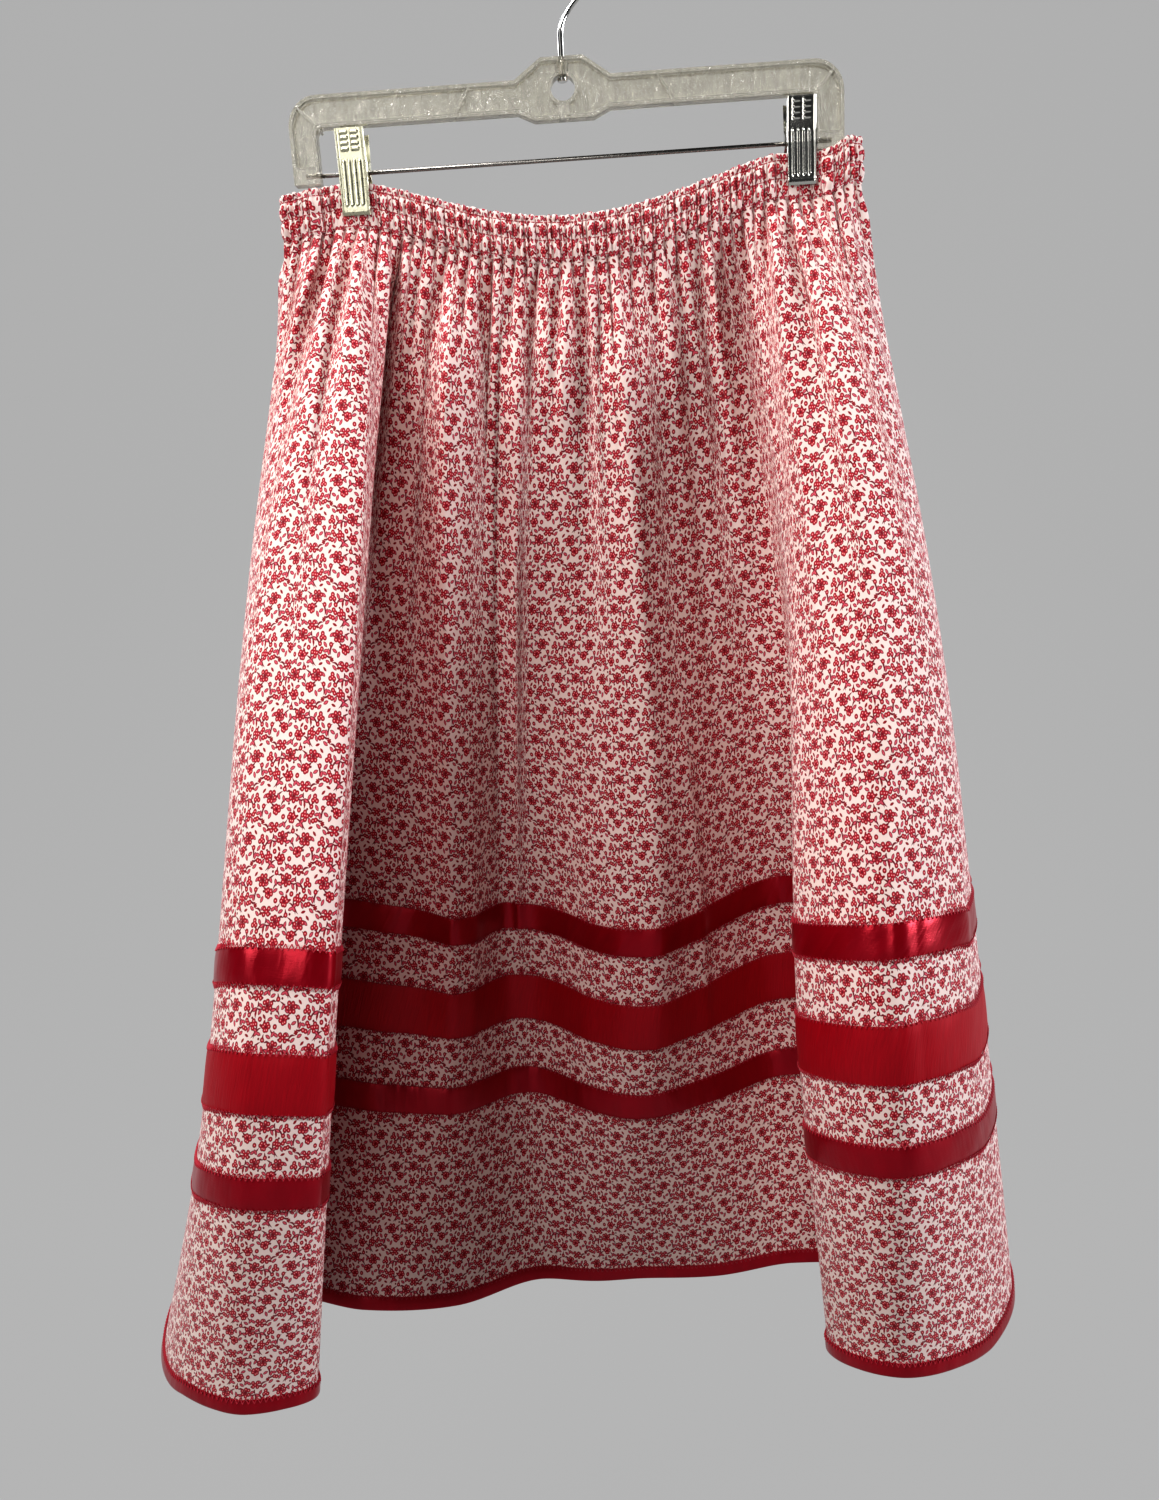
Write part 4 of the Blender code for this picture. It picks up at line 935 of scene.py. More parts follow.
def make_calico(name):
    """Cotton calico, plain woven and roller printed: matt, with soft-edged red sprigs on an
    off-white ground, and a paler ghost of the print on the wrong side."""
    settings = bpy.context.scene.skirt_calico
    material, tree, shader = new_material(name, Roughness=0.86, Sheen_Weight=0.18,
                                          Sheen_Roughness=0.5)
    place = add_node(tree, "ShaderNodeUVMap", {"uv_map": "cloth"})
    scale = REPEAT / settings.repeat
    mm = add_node(tree, "ShaderNodeVectorMath", "MULTIPLY", place,
                  (PRINT_ACROSS * scale, PRINT_DOWN * scale, scale))
    found = print_distances(tree, mm)
    line, ground = tuple(settings.line), tuple(settings.ground)
    leaf, bud = (lens(*LEAF_SIZES[kind])[0] for kind in ("leaf", "bud"))
    base = ground
    for kind, edge, soft, colour in (
            ("stem", 0.0, PRINT_SOFT, line),
            ("leaf", leaf, PRINT_SOFT, line),
            ("leaf", leaf - OUTLINE, PRINT_SOFT, settings.pink),
            ("speck", SPECK, PRINT_SOFT, line),
            ("bud", bud, PRINT_SOFT, settings.deep),
            ("petal", PETAL, PRINT_SOFT, line),
            ("petal", PETAL - OUTLINE, PRINT_SOFT, settings.red),
            ("petal", *LIGHT_DOT, settings.light),
            ("heart", HEART, PRINT_SOFT, line)):
        share = add_node(tree, "ShaderNodeMapRange",
                         {"From Min": edge - soft, "From Max": edge + soft,
                          "To Min": 1.0, "To Max": 0.0}, Value=found[kind])
        base = add_node(tree, "ShaderNodeMix", {"data_type": "RGBA"}, in0=share, in6=base,
                        in7=tuple(colour))
    # The print shows through the wrong side at about a third of its strength.
    back = add_node(tree, "ShaderNodeAttribute", {"attribute_name": "wrong_side"}).outputs[2]
    back = add_node(tree, MATHS, "MULTIPLY", back, WRONG_SIDE_GROUND)
    add_node(tree, "ShaderNodeMix", {"data_type": "RGBA"}, in0=back, in6=base, in7=ground,
             into=shader.inputs["Base Color"])
    # Threads are about 0.35 mm apart; they are drawn at 0.7 mm, as coarse as shows.
    weave = add_node(tree, "ShaderNodeTexNoise", {"Scale": 1400.0, "Detail": 1.0},
                     Vector=place)
    crumple = add_node(tree, "ShaderNodeTexNoise", {"Scale": 60.0, "Detail": 3.0},
                       Vector=place)
    height = add_node(tree, MATHS, "MULTIPLY_ADD", crumple, 6.0, weave)
    add_node(tree, "ShaderNodeBump", {"Strength": 0.5, "Distance": 0.0001},
             into=shader.inputs["Normal"], Height=height)
    return material


def make_satin(name):
    """Polyester satin ribbon: long floats along the ribbon, so light runs across it in
    bright soft streaks."""
    satin = bpy.context.scene.skirt_ribbons.satin
    material, tree, shader = new_material(name, Base_Color=tuple(satin), Roughness=0.3,
                                          Metallic=0.45, Anisotropic=0.7,
                                          Anisotropic_Rotation=0.25)
    add_node(tree, "ShaderNodeTangent", {"direction_type": "UV_MAP", "uv_map": "cloth"},
             into=shader.inputs["Tangent"])
    place = add_node(tree, "ShaderNodeUVMap", {"uv_map": "cloth"})
    stretched = add_node(tree, "ShaderNodeVectorMath", "MULTIPLY", place, (1.0, 0.22, 1.0))
    pucker = add_node(tree, "ShaderNodeTexNoise", {"Scale": 130.0, "Detail": 2.0},
                      Vector=stretched)
    # Floats are 0.1 mm apart; they are drawn at 0.5 mm, as fine as shows.
    along = add_node(tree, "ShaderNodeVectorMath", "MULTIPLY", place, (0.1, 1.0, 1.0))
    floats = add_node(tree, "ShaderNodeTexNoise", {"Scale": 2000.0, "Detail": 0.0},
                      Vector=along)
    height = add_node(tree, MATHS, "MULTIPLY_ADD", pucker, 8.0, floats)
    add_node(tree, "ShaderNodeBump", {"Strength": 0.6, "Distance": 0.0001},
             into=shader.inputs["Normal"], Height=height)
    # Painted shade: the colour is darkened where the pucker sinks, in the same troughs the
    # bump makes.
    add_node(tree, "ShaderNodeMix", {"data_type": "RGBA", 6: darker(satin, 0.72),
                                     7: tuple(satin)},
             into=shader.inputs["Base Color"], in0=pucker)
    return material


def make_taffeta(name):
    """Crinkled taffeta ribbon: a crisp plain weave pressed into fine upright ridges."""
    taffeta = bpy.context.scene.skirt_ribbons.taffeta
    material, tree, shader = new_material(name, Base_Color=tuple(taffeta), Roughness=0.46,
                                          Metallic=0.25)
    place = add_node(tree, "ShaderNodeUVMap", {"uv_map": "cloth"})
    upright = add_node(tree, "ShaderNodeVectorMath", "MULTIPLY", place, (1.0, 0.06, 1.0))
    # The pressed ridges are about 1.2 mm apart.
    ridges = add_node(tree, "ShaderNodeTexNoise",
                      {"Scale": 900.0, "Detail": 1.0, "Distortion": 0.4}, Vector=upright)
    add_node(tree, "ShaderNodeBump", {"Strength": 0.8, "Distance": 0.0004},
             into=shader.inputs["Normal"], Height=ridges)
    # Painted shade: the colour is darkened in the troughs between the pressed ridges, by the
    # same noise as the bump.
    add_node(tree, "ShaderNodeMix", {"data_type": "RGBA", 6: darker(taffeta, 0.7),
                                     7: tuple(taffeta)},
             into=shader.inputs["Base Color"], in0=ridges)
    return material


def make_thread(name):
    """Spun polyester sewing thread, two plies: a dull sheen and a faint twist."""
    settings = bpy.context.scene.skirt_sewing
    material, tree, shader = new_material(name, Base_Color=tuple(settings.colour),
                                          Roughness=0.6, Sheen_Weight=0.2)
    place = add_node(tree, "ShaderNodeTexCoord").outputs["Object"]
    twist = add_node(tree, "ShaderNodeTexNoise", {"Scale": 1800.0, "Detail": 1.0},
                     Vector=place)
    add_node(tree, "ShaderNodeBump", {"Strength": 0.4, "Distance": 0.0001},
             into=shader.inputs["Normal"], Height=twist)
    return material


def make_styrene(name, rough, ripple, shade):
    """Clear polystyrene, injection moulded: faint slanting flow ripples in the web's skin,
    with painted shade in their troughs; the darker tint on the polished rims is painted
    shade."""
    tint = darker(bpy.context.scene.skirt_hanger.plastic, shade)
    material, tree, shader = new_material(name, Base_Color=tint, Roughness=rough, IOR=1.59,
                                          Transmission_Weight=0.82)
    place = add_node(tree, "ShaderNodeTexCoord").outputs["Object"]
    turned = add_node(tree, "ShaderNodeMapping", {"Rotation": (0.0, 0.5, 0.0),
                                                  "Scale": (1.0, 1.0, 0.3)}, Vector=place)
    # The ripples are about 3 mm apart.
    flow = add_node(tree, "ShaderNodeTexNoise", {"Scale": 300.0, "Detail": 3.0,
                                                 "Distortion": 0.8}, Vector=turned)
    add_node(tree, "ShaderNodeBump", {"Strength": 0.8, "Distance": ripple},
             into=shader.inputs["Normal"], Height=flow)
    # Painted shade: the tint is darkened in the ripples' troughs, by the same noise as the
    # bump.
    share = add_node(tree, "ShaderNodeMapRange", {"From Min": 0.42, "From Max": 0.62},
                     Value=flow)
    add_node(tree, "ShaderNodeMix", {"data_type": "RGBA", 6: darker(tint, 0.84), 7: tint},
             into=shader.inputs["Base Color"], in0=share)
    return material


def make_chrome(name, hex_rgb, rough):
    """Steel pressed or drawn, then bright chromium plated: a mirror with faint scuffs."""
    material, tree, shader = new_material(name, Base_Color=linear(hex_rgb), Metallic=1.0,
                                          Roughness=rough)
    place = add_node(tree, "ShaderNodeTexCoord").outputs["Object"]
    scuffs = add_node(tree, "ShaderNodeTexNoise", {"Scale": 420.0, "Detail": 4.0},
                      Vector=place)
    add_node(tree, "ShaderNodeMapRange",
             {"From Min": 0.3, "From Max": 0.8,
              "To Min": rough * 0.8, "To Max": rough * 1.3},
             into=shader.inputs["Roughness"], Value=scuffs)
    return material


def make_paper(name):
    """Matt backdrop paper: pale, smooth and without gloss."""
    paper = bpy.context.scene.skirt_stage.paper
    material, tree, shader = new_material(name, Roughness=0.95, Base_Color=linear("1E1E1E"),
                                          Emission_Color=tuple(paper), Emission_Strength=1.0)
    place = add_node(tree, "ShaderNodeTexCoord").outputs["Object"]
    tooth = add_node(tree, "ShaderNodeTexNoise", {"Scale": 500.0}, Vector=place)
    add_node(tree, "ShaderNodeBump", {"Strength": 0.1, "Distance": 0.0005},
             into=shader.inputs["Normal"], Height=tooth)
    return material


def shared(name, make, *values):
    """The named material, made the first time it is asked for."""
    return bpy.data.materials.get(name) or make(name, *values)


# ---- sewing ------------------------------------------------------------------------
def seam_tree(name, zigzag):
    """Geometry Nodes that sew thread along the curve of a mesh's edges.

    The mesh carries its outward direction as the vector attribute "out".
    """
    tree = bpy.data.node_groups.new(name, "GeometryNodeTree")

    def socket(label, way, kind):
        return tree.interface.new_socket(label, in_out=way, socket_type="NodeSocket" + kind)

    socket("Geometry", "INPUT", "Geometry")
    for label in ("Pitch", "Width", "Thread"):
        socket(label, "INPUT", "Float").subtype = "DISTANCE"
    socket("Material", "INPUT", "Material")
    socket("Geometry", "OUTPUT", "Geometry")
    given = tree.nodes.new("NodeGroupInput").outputs
    path = add_node(tree, "GeometryNodeMeshToCurve", in0=given["Geometry"])
    even = add_node(tree, "GeometryNodeResampleCurve", {"mode": "LENGTH"}, Curve=path,
                    Length=given["Pitch"])
    ahead = add_node(tree, "GeometryNodeInputTangent")
    out = add_node(tree, "GeometryNodeInputNamedAttribute",
                   {"data_type": "FLOAT_VECTOR", "Name": "out"})
    turn = add_node(tree, "FunctionNodeAxesToRotation",
                    {"primary_axis": "X", "secondary_axis": "Z"}, in0=ahead, in1=out)
    if zigzag:
        low, high = (add_node(tree, MATHS, "MULTIPLY", given["Width"], share)
                     for share in (-0.5, 0.5))
        middle = add_node(tree, MATHS, "MULTIPLY", given["Pitch"], 0.5)
        corners = ((0.0, low), (middle, high), (given["Pitch"], low))
    else:
        reach = add_node(tree, MATHS, "MULTIPLY", given["Pitch"], STITCH_SHARE)
        corners = ((0.0, 0.0), (reach, 0.0))
    corners = [add_node(tree, "ShaderNodeCombineXYZ", None, *place) for place in corners]
    join = tree.nodes.new("GeometryNodeJoinGeometry")
    for start, end in zip(corners, corners[1:]):
        add_node(tree, "GeometryNodeCurvePrimitiveLine", into=join.inputs[0], Start=start,
                 End=end)
    radius = add_node(tree, MATHS, "MULTIPLY", given["Thread"], 0.5)
    round_thread = add_node(tree, "GeometryNodeCurvePrimitiveCircle", {"Resolution": 4},
                            Radius=radius)
    stitch = add_node(tree, "GeometryNodeCurveToMesh", {"Fill Caps": True}, in0=join,
                      Profile_Curve=round_thread)
    sewn = add_node(tree, "GeometryNodeInstanceOnPoints", Points=even, Instance=stitch,
                    Rotation=turn)
    real = add_node(tree, "GeometryNodeRealizeInstances", in0=sewn)
    done = add_node(tree, "GeometryNodeSetMaterial", in0=real, Material=given["Material"])
    add_node(tree, "NodeGroupOutput", in0=done)
    return tree


def sew(name, paths, zigzag):
    """Stitches along each path of (points, outward directions), as one plain mesh."""
    settings = bpy.context.scene.skirt_sewing
    points = np.concatenate([p for p, _out in paths])
    out = np.concatenate([o for _p, o in paths])
    edges = []
    first = 0
    for path, _out in paths:
        edges += [(first + k, first + k + 1) for k in range(len(path) - 1)]
        first += len(path)
    mesh = bpy.data.meshes.new(name)
    mesh.from_pydata((points * MM).tolist(), edges, [])
    store = mesh.attributes.new("out", "FLOAT_VECTOR", "POINT")
    store.data.foreach_set("vector", out.astype(np.float32).ravel())
    thing = bpy.data.objects.new(name, mesh)
    bpy.context.scene.collection.objects.link(thing)
    label = "Zigzag seam" if zigzag else "Straight seam"
    tree = bpy.data.node_groups.get(label) or seam_tree(label, zigzag)
    change = thing.modifiers.new("Seam", "NODES")
    change.node_group = tree
    values = {"Pitch": settings.pitch if zigzag else settings.straight,
              "Width": settings.width, "Thread": settings.thread,
              "Material": shared("sewing_thread", make_thread)}
    for item in tree.interface.items_tree:
        if item.name in values and item.in_out == "INPUT":
            change[item.identifier] = values[item.name]
    return plain_mesh(thing)


# ---- the pieces --------------------------------------------------------------------
def cloth_sides():
    """For each side, a function that gives its grid and normals at distances down."""
    fine, surface = cloth_surface()

    def at(side, downs):
        grid, out = rows_at(fine, surface, np.asarray(downs, float))
        pick = side_columns(side)
        return grid[:, pick], out[:, pick]
    return at


def make_panels():
    calico = shared("printed_calico", make_calico)
    at = cloth_sides()
    top = CASING_HEIGHT + CASING_GAP
    downs = top + (SKIRT_LENGTH - top) * np.linspace(0, 1, SHELL_ROWS) ** ROW_SPREAD
    for side, start in (("front", 0.0), ("back", BACK_PRINT_START)):
        grid, out = at(side, downs)
        flat = flat_places(cloth_across(side, grid, downs, grid[-1:]), downs) + (start, 0.0)
        piece = make_layer(side + "_panel_cloth", grid + out * CLOTH / 2,
                           grid - out * CLOTH / 2, calico, flat, 70.0,
                           np.repeat([0.0, 1.0], len(flat)))
        set_piece(piece, "calico", side + "_panel")


def ribbon_profile(rows):
    """How far a ribbon's outer face stands off its back across its width."""
    crown = np.clip(1 - (2 * np.linspace(0, 1, rows) - 1) ** 4, 0, 1)
    return RIBBON_WALL * (RIBBON_EDGE + (1 - RIBBON_EDGE) * crown)


def make_ribbons():
    materials = {"satin": shared("red_satin", make_satin),
                 "taffeta": shared("red_taffeta", make_taffeta)}
    pucker = bpy.context.scene.skirt_ribbons.pucker / MM
    at = cloth_sides()
    base = CLOTH / 2 + RIBBON_LIFT
    lift = ribbon_profile(RIBBON_ROWS)[:, None]
    share = np.linspace(-1, 1, RIBBON_ROWS)[:, None]
    short, long, wandering = PUCKER_RUNS
    for side in ("front", "back"):
        for number, (name, lower, width) in enumerate(RIBBONS):
            top = SKIRT_LENGTH - lower - width
            downs = np.linspace(top, top + width, RIBBON_ROWS)
            grid, out = at(side, downs)
            along = run_along(grid)
            drawn = (np.sin(along / short + 1.7 * number) * np.sin(along / long + number)
                     * pucker * share ** 2)
            drawn = drawn + 0.4 * pucker * np.sin(along / wandering + 3 * share)
            outer = grid + out * (base + lift + 0.6 * drawn)[..., None]
            inner = grid + out * np.full(lift.shape, base - LAYER_TUCK)[..., None]
            slot = "taffeta" if name == "wide_ribbon" else "satin"
            piece = make_layer(f"{name}_{side}_cloth", outer, inner, materials[slot],
                               flat_places(along, downs), 50.0)
            set_piece(piece, slot, f"{name}_{side}")


def make_bindings():
    """Satin folded round the raw hem, rounded where it turns under."""
    satin = shared("red_satin", make_satin)
    at = cloth_sides()
    far = CLOTH / 2 + BINDING_LIFT + RIBBON_WALL
    near = CLOTH / 2 + BINDING_LIFT * 0.5
    close = near - LAYER_TUCK
    heights, swell = np.array(BINDING_STATIONS).T
    turns = np.radians(np.arange(0, 181, 30))
    under = np.array([0, 0, -1.0])
    for side in ("front", "back"):
        grid, out = at(side, SKIRT_LENGTH - BINDING_HEIGHT * heights)
        hem, hem_out = at(side, [SKIRT_LENGTH])
        along = run_along(hem)[0]
        short, long = BINDING_RIPPLE_RUNS
        soft = BINDING_RIPPLE * np.sin(along / short) * np.sin(along / long + 1.0)

        def face(way, order):
            return ([g + way * o * (near + (far - near) * share + soft)[:, None]
                     for g, o, share in zip(grid[order], out[order], swell[order])],
                    [g + way * o * close for g, o in zip(grid[order], out[order])])

        def turned(reach, drop):
            return [hem[0] + hem_out[0] * reach * math.cos(a) + under * drop * math.sin(a)
                    for a in turns]

        down, down_inner = face(1, slice(None))
        back, back_inner = face(-1, slice(None, None, -1))
        outer = np.stack(down + turned(far, BINDING_LIFT + BINDING_UNDER) + back)
        inner = np.stack(down_inner + turned(close, BINDING_LIFT * 0.5) + back_inner)
        rise = run_along(outer[:, 10][None])[0]
        piece = make_layer(f"hem_binding_{side}_cloth", outer, inner, satin,
                           flat_places(along, rise), 50.0)
        set_piece(piece, "satin", f"hem_binding_{side}")


def casing_ring(per_gather):
    """Level waist edge points, outward directions and running gather numbers."""
    ring, run = waist_run()
    count = GATHERS_ROUND * per_gather
    at = np.linspace(0, run[-1], count, endpoint=False)
    edge = np.stack([np.interp(at, run, ring[:, k]) for k in range(3)], axis=-1)
    along = np.roll(edge, -1, axis=0) - np.roll(edge, 1, axis=0)
    out = unit(np.stack([along[:, 1], -along[:, 0], np.zeros(count)], axis=1))
    return edge, out, at / run[-1] * GATHERS_ROUND


def make_casing():
    calico = shared("printed_calico", make_calico)
    edge, out, number = casing_ring(CASING_COLUMNS)
    gather = np.floor(number)
    part = number - gather
    uneven = 0.72 + 0.28 * np.sin(gather * GATHER_TURN)
    # A cleft parts each gather into two pleats, the first of them lower.
    cleft = 0.4 + 0.2 * np.sin(gather * 1.3)
    pleat = np.where(part < cleft, part / cleft, (part - cleft) / (1 - cleft))
    first = np.where(part < cleft, 0.75 + 0.25 * np.sin(gather * 2.9), 1.0)
    crest = (1.5 * first * np.sin(math.pi * pleat) ** 0.7 - 0.45) * uneven
    nearest = np.minimum(np.abs(edge[:, 0] - RIGHT_CLIP_AT),
                         np.abs(edge[:, 0] - LEFT_CLIP_AT))
    free = PRESSED_SHARE + (1 - PRESSED_SHARE) * np.clip(
        (nearest - CLIP_WIDTH / 2 - PRESSED_OUT) / PRESSED_OVER, 0, 1)
    crest = crest * free
    slip = np.sin(gather * 1.9) * free
    base = CASING_WALL / 2
    foot = fine_gathers(np.array([CASING_HEIGHT + CASING_GAP]))[0]
    foot = np.interp(number % GATHERS_ROUND, column_gathers() % GATHERS_ROUND, foot,
                     period=GATHERS_ROUND) + CLOTH / 2
    rows = []
    downs = []
    for down, height, step, frill in CASING_STATIONS:
        stand = base + step + GATHER_RAISE * height * crest + CASING_FRILL[0] * frill * slip
        merge = eased(down, CASING_ENDS)
        stand = stand * (1 - merge) + (foot + 0.5 - 0.9 * eased(down, (28.2, 29.6))) * merge
        lift = CASING_FRILL[1] * frill * (crest - 0.4)
        rows.append(edge + out * stand[:, None] + np.stack(
            [0 * lift, 0 * lift, lift - down], axis=1))
        downs.append(down)
    for down in CASING_INSIDE:
        stand = base if 1 < down < 28 else base * 0.4
        rows.append(edge - out * stand + np.array([0, 0, -down]))
        downs.append(2 * CASING_HEIGHT - down)
    points, faces = looped(tilted(np.stack(rows)))
    # Each gather shows its crest at true size and hides the rest of its share of cloth.
    shown = waist_run()[1][-1] / GATHERS_ROUND * CREST_SHOWN
    across = gather * GATHER_SHARE + part * shown
    wrong = np.repeat((np.arange(len(downs)) >= len(CASING_STATIONS)).astype(float),
                      len(edge))
    piece = make_piece("waist_casing_cloth", points, faces, calico,
                       flat_places(across, downs), wrong, 80.0)
    set_piece(piece, "calico", "waist_casing")


def seam_line(at, side, down, lift, lean):
    """Where a zigzag runs, and its upward face leant towards the cloth beside the ribbon."""
    grid, out = at(side, [down, down + 1.0])
    leant = unit(out[0] + lean * unit(grid[0] - grid[1]))
    return grid[0] + out[0] * (CLOTH / 2 + lift + 0.5), leant


def make_sewing():
    """Zigzag along both edges of every ribbon and over the binding; straight stitching
    round the casing."""
    at = cloth_sides()
    for side in ("front", "back"):
        paths = []
        for _name, lower, width in RIBBONS:
            for height, way in ((lower + width, 1), (lower, -1)):
                paths.append(seam_line(at, side, SKIRT_LENGTH - height - way * ZIGZAG_OUT,
                                       RIBBON_LIFT, way * ZIGZAG_LEAN))
        paths.append(seam_line(at, side, SKIRT_LENGTH - BINDING_HEIGHT, BINDING_LIFT,
                               ZIGZAG_LEAN))
        set_piece(sew(f"zigzag_{side}", paths, True), "satin")
    edge, out, number = casing_ring(6)
    crest = np.sin(math.pi * (number - np.floor(number)))
    paths = []
    for down, height in CASING_STITCHES:
        stand = CASING_WALL / 2 - 0.1 + GATHER_RAISE * height * crest
        line = edge + out * stand[:, None] + np.array([0, 0, -down])
        line = tilted(np.concatenate([line, line[:1]]))
        paths.append((line, np.concatenate([out, out[:1]])))
    set_piece(sew("casing_stitches", paths, False), "calico")


def declare_sheets():
    """Work out each panel's hem width and the names of what is sewn to it; they are not
    used.
    """
    at = cloth_sides()
    for side in ("front", "back"):
        width = run_along(at(side, [SKIRT_LENGTH])[0])[0, -1] * MM
        names = [f"{name}_{side}_cloth" for name, _lower, _width in RIBBONS]
        names += [f"hem_binding_{side}_cloth", f"zigzag_{side}"]
        if side == "front":
            names += ["waist_casing_cloth", "casing_stitches"]


# ---- the hanger --------------------------------------------------------------------
def arc(middle, radius, start, end, steps):
    """Points on an arc in the hanger's plane, angles in degrees from +x."""
    turns = np.radians(np.linspace(start, end, steps))
    return [(middle[0] + radius * math.cos(t), middle[1] + radius * math.sin(t))
            for t in turns]


def from_ring(flat, depth):
    """Points (x, height over the ring) at a depth, hung from the tilted hook."""
    return tilted([(x, depth, up - RING_DOWN) for x, up in flat])


def frame_outline():
    bottom = BAR_TOP - BAR_HEIGHT
    inner = BAR_HALF - ARM_WIDTH
    right = [(BOSS_TOP_HALF, BOSS_TOP), (BOSS_FOOT_HALF, BAR_TOP)]
    right += arc((BAR_HALF - CORNER_RADIUS, BAR_TOP - CORNER_RADIUS), CORNER_RADIUS,
                 90, 0, 19)
    right += [(BAR_HALF, ARM_END), (inner, ARM_END)]
    right += arc((inner - INNER_RADIUS, bottom - INNER_RADIUS), INNER_RADIUS, 0, 90, 9)
    right += [(BOSS_FOOT_HALF - 1.0, bottom), (BOSS_BOTTOM_HALF, BOSS_BOTTOM)]
    left = [(-x, up) for x, up in reversed(right)]
    return right + left


def inset(outline, by):
    """The outline moved in by a rim's width; it runs clockwise."""
    points = np.array(outline, float)
    ahead = unit(np.roll(points, -1, axis=0) - points)
    inward = np.stack([ahead[:, 1], -ahead[:, 0]], axis=1)
    before = np.roll(inward, 1, axis=0)
    return points + (before + inward) / (1 + (before * inward).sum(axis=1))[:, None] * by


def boxed(flat, near, far):
    """Closed slab of a flat outline between two depths."""
    return (np.concatenate([from_ring(flat, near), from_ring(flat, far)]),
            ring_faces(2, len(flat)))


def bar_between(start, end, width):
    """Four corners of a straight rib in the hanger's plane."""
    start, end = np.array(start, float), np.array(end, float)
    along = (end - start) / np.linalg.norm(end - start)
    side = np.array([-along[1], along[0]]) * width / 2
    return [tuple(p) for p in (start + side, end + side, end - side, start - side)]


def rod_points(path, radii, sides):
    """Round bar along a path of millimetre points that lie in a plane of constant y."""
    path = np.asarray(path, float)
    depth = np.array([0.0, 1.0, 0.0])
    side = np.cross(unit(np.gradient(path, axis=0)), depth)
    turns = np.arange(sides) * 2 * math.pi / sides
    points = np.concatenate([centre + radius * (np.cos(turns)[:, None] * depth
                                                + np.sin(turns)[:, None] * out)
                             for centre, out, radius
                             in zip(path, side, np.broadcast_to(radii, len(path)))])
    return points, ring_faces(len(path), sides)


def face_out(thing):
    """Turn every face of a closed piece to point outwards."""
    work = bmesh.new()
    work.from_mesh(thing.data)
    bmesh.ops.remove_doubles(work, verts=work.verts[:], dist=1e-6)
    bmesh.ops.recalc_face_normals(work, faces=work.faces[:])
    work.to_mesh(thing.data)
    work.free()
    return thing


def combine(target, operation, points, faces):
    """Join a helper solid to the target, or cut it away, at once."""
    tool = face_out(make_piece("helper", points, faces, target.data.materials[0]))
    change = target.modifiers.new("Helper", "BOOLEAN")
    change.operation = operation
    change.solver = "EXACT"
    change.object = tool
    plain_mesh(target)
    bpy.data.objects.remove(tool)


def round_edges(thing, radius, segments, degrees):
    """Round the edges sharper than the angle and keep the flats flat."""
    change = thing.modifiers.new("Edges", "BEVEL")
    change.width = radius
    change.segments = segments
    change.limit_method = "ANGLE"
    change.angle_limit = math.radians(degrees)
    change.harden_normals = False
    plain_mesh(thing)
    thing.data.shade_smooth()
    thing.data.set_sharp_from_angle(angle=math.radians(50))


def make_frame():
    styrene = shared("clear_styrene", make_styrene, 0.12, 0.0016, 1.0)
    # The rims' darker tint is painted shade.
    rim = shared("styrene_rim", make_styrene, 0.04, 0.0001, 0.8)
    outline = frame_outline()
    pocket = inset(outline, RIM)
    deep, thin = FRAME_DEPTH / 2, WEB / 2
    loops = [from_ring(pocket, -thin), from_ring(pocket, -deep), from_ring(outline, -deep),
             from_ring(outline, deep), from_ring(pocket, deep), from_ring(pocket, thin)]
    body = face_out(make_piece("clear_hanger", np.concatenate(loops),
                               ring_faces(6, len(outline)), styrene))

    def disc(radius, half_depth):
        # 48 sides: the arc stops one side short of closing.
        return boxed(arc((0, 0), radius, 0, 352.5, 48), -half_depth, half_depth)

    def pin(start, end, radius, sides):
        return rod_points(from_ring((start, end), 0), radius, sides)

    rib_depth = deep - RIB_INSET
    socket_end = BAR_HALF - RIM / 2
    socket = ((socket_end, -ROD_BELOW_RING), (socket_end - SOCKET_LENGTH, -ROD_BELOW_RING))
    for side in (-1, 1):
        for line, width in ((BAR_RIB, RIB), (CORNER_RIB, RIB),
                            (socket, 2 * SOCKET_HALF_HEIGHT)):
            ends = [(side * x, up) for x, up in line]
            combine(body, "UNION", *boxed(bar_between(*ends, width), -rib_depth, rib_depth))
    combine(body, "UNION", *disc(RING_OUTER, deep - RING_INSET))
    for start, end in ((BOSS_TOP - SLEEVE_INSET, RING_INNER),
                       (-RING_INNER, BOSS_BOTTOM + SLEEVE_INSET)):
        combine(body, "UNION", *pin((0, start), (0, end), SLEEVE_RADIUS, 24))
    combine(body, "DIFFERENCE", *disc(RING_INNER, deep + 2))
    combine(body, "DIFFERENCE", *pin((0, BOSS_TOP + 3), (0, RING_INNER - 2),
                                     HOOK_WIRE + FIT_GAP, 16))
    for side in (-1, 1):
        combine(body, "DIFFERENCE", *pin(
            (side * (BAR_HALF - ARM_WIDTH - 4), -ROD_BELOW_RING),
            (side * (ROD_HALF + FIT_GAP), -ROD_BELOW_RING), ROD_RADIUS + FIT_GAP, 16))
    round_edges(body, bpy.context.scene.skirt_hanger.edge, 2, 40)
    # Faces turned from the front take the rim material, whose darker tint is painted shade.
    body.data.materials.append(rim)
    for face in body.data.polygons:
        face.material_index = int(abs(face.normal.y) < RIM_TURN)
    set_piece(body, "clear_plastic", "hanger_frame")


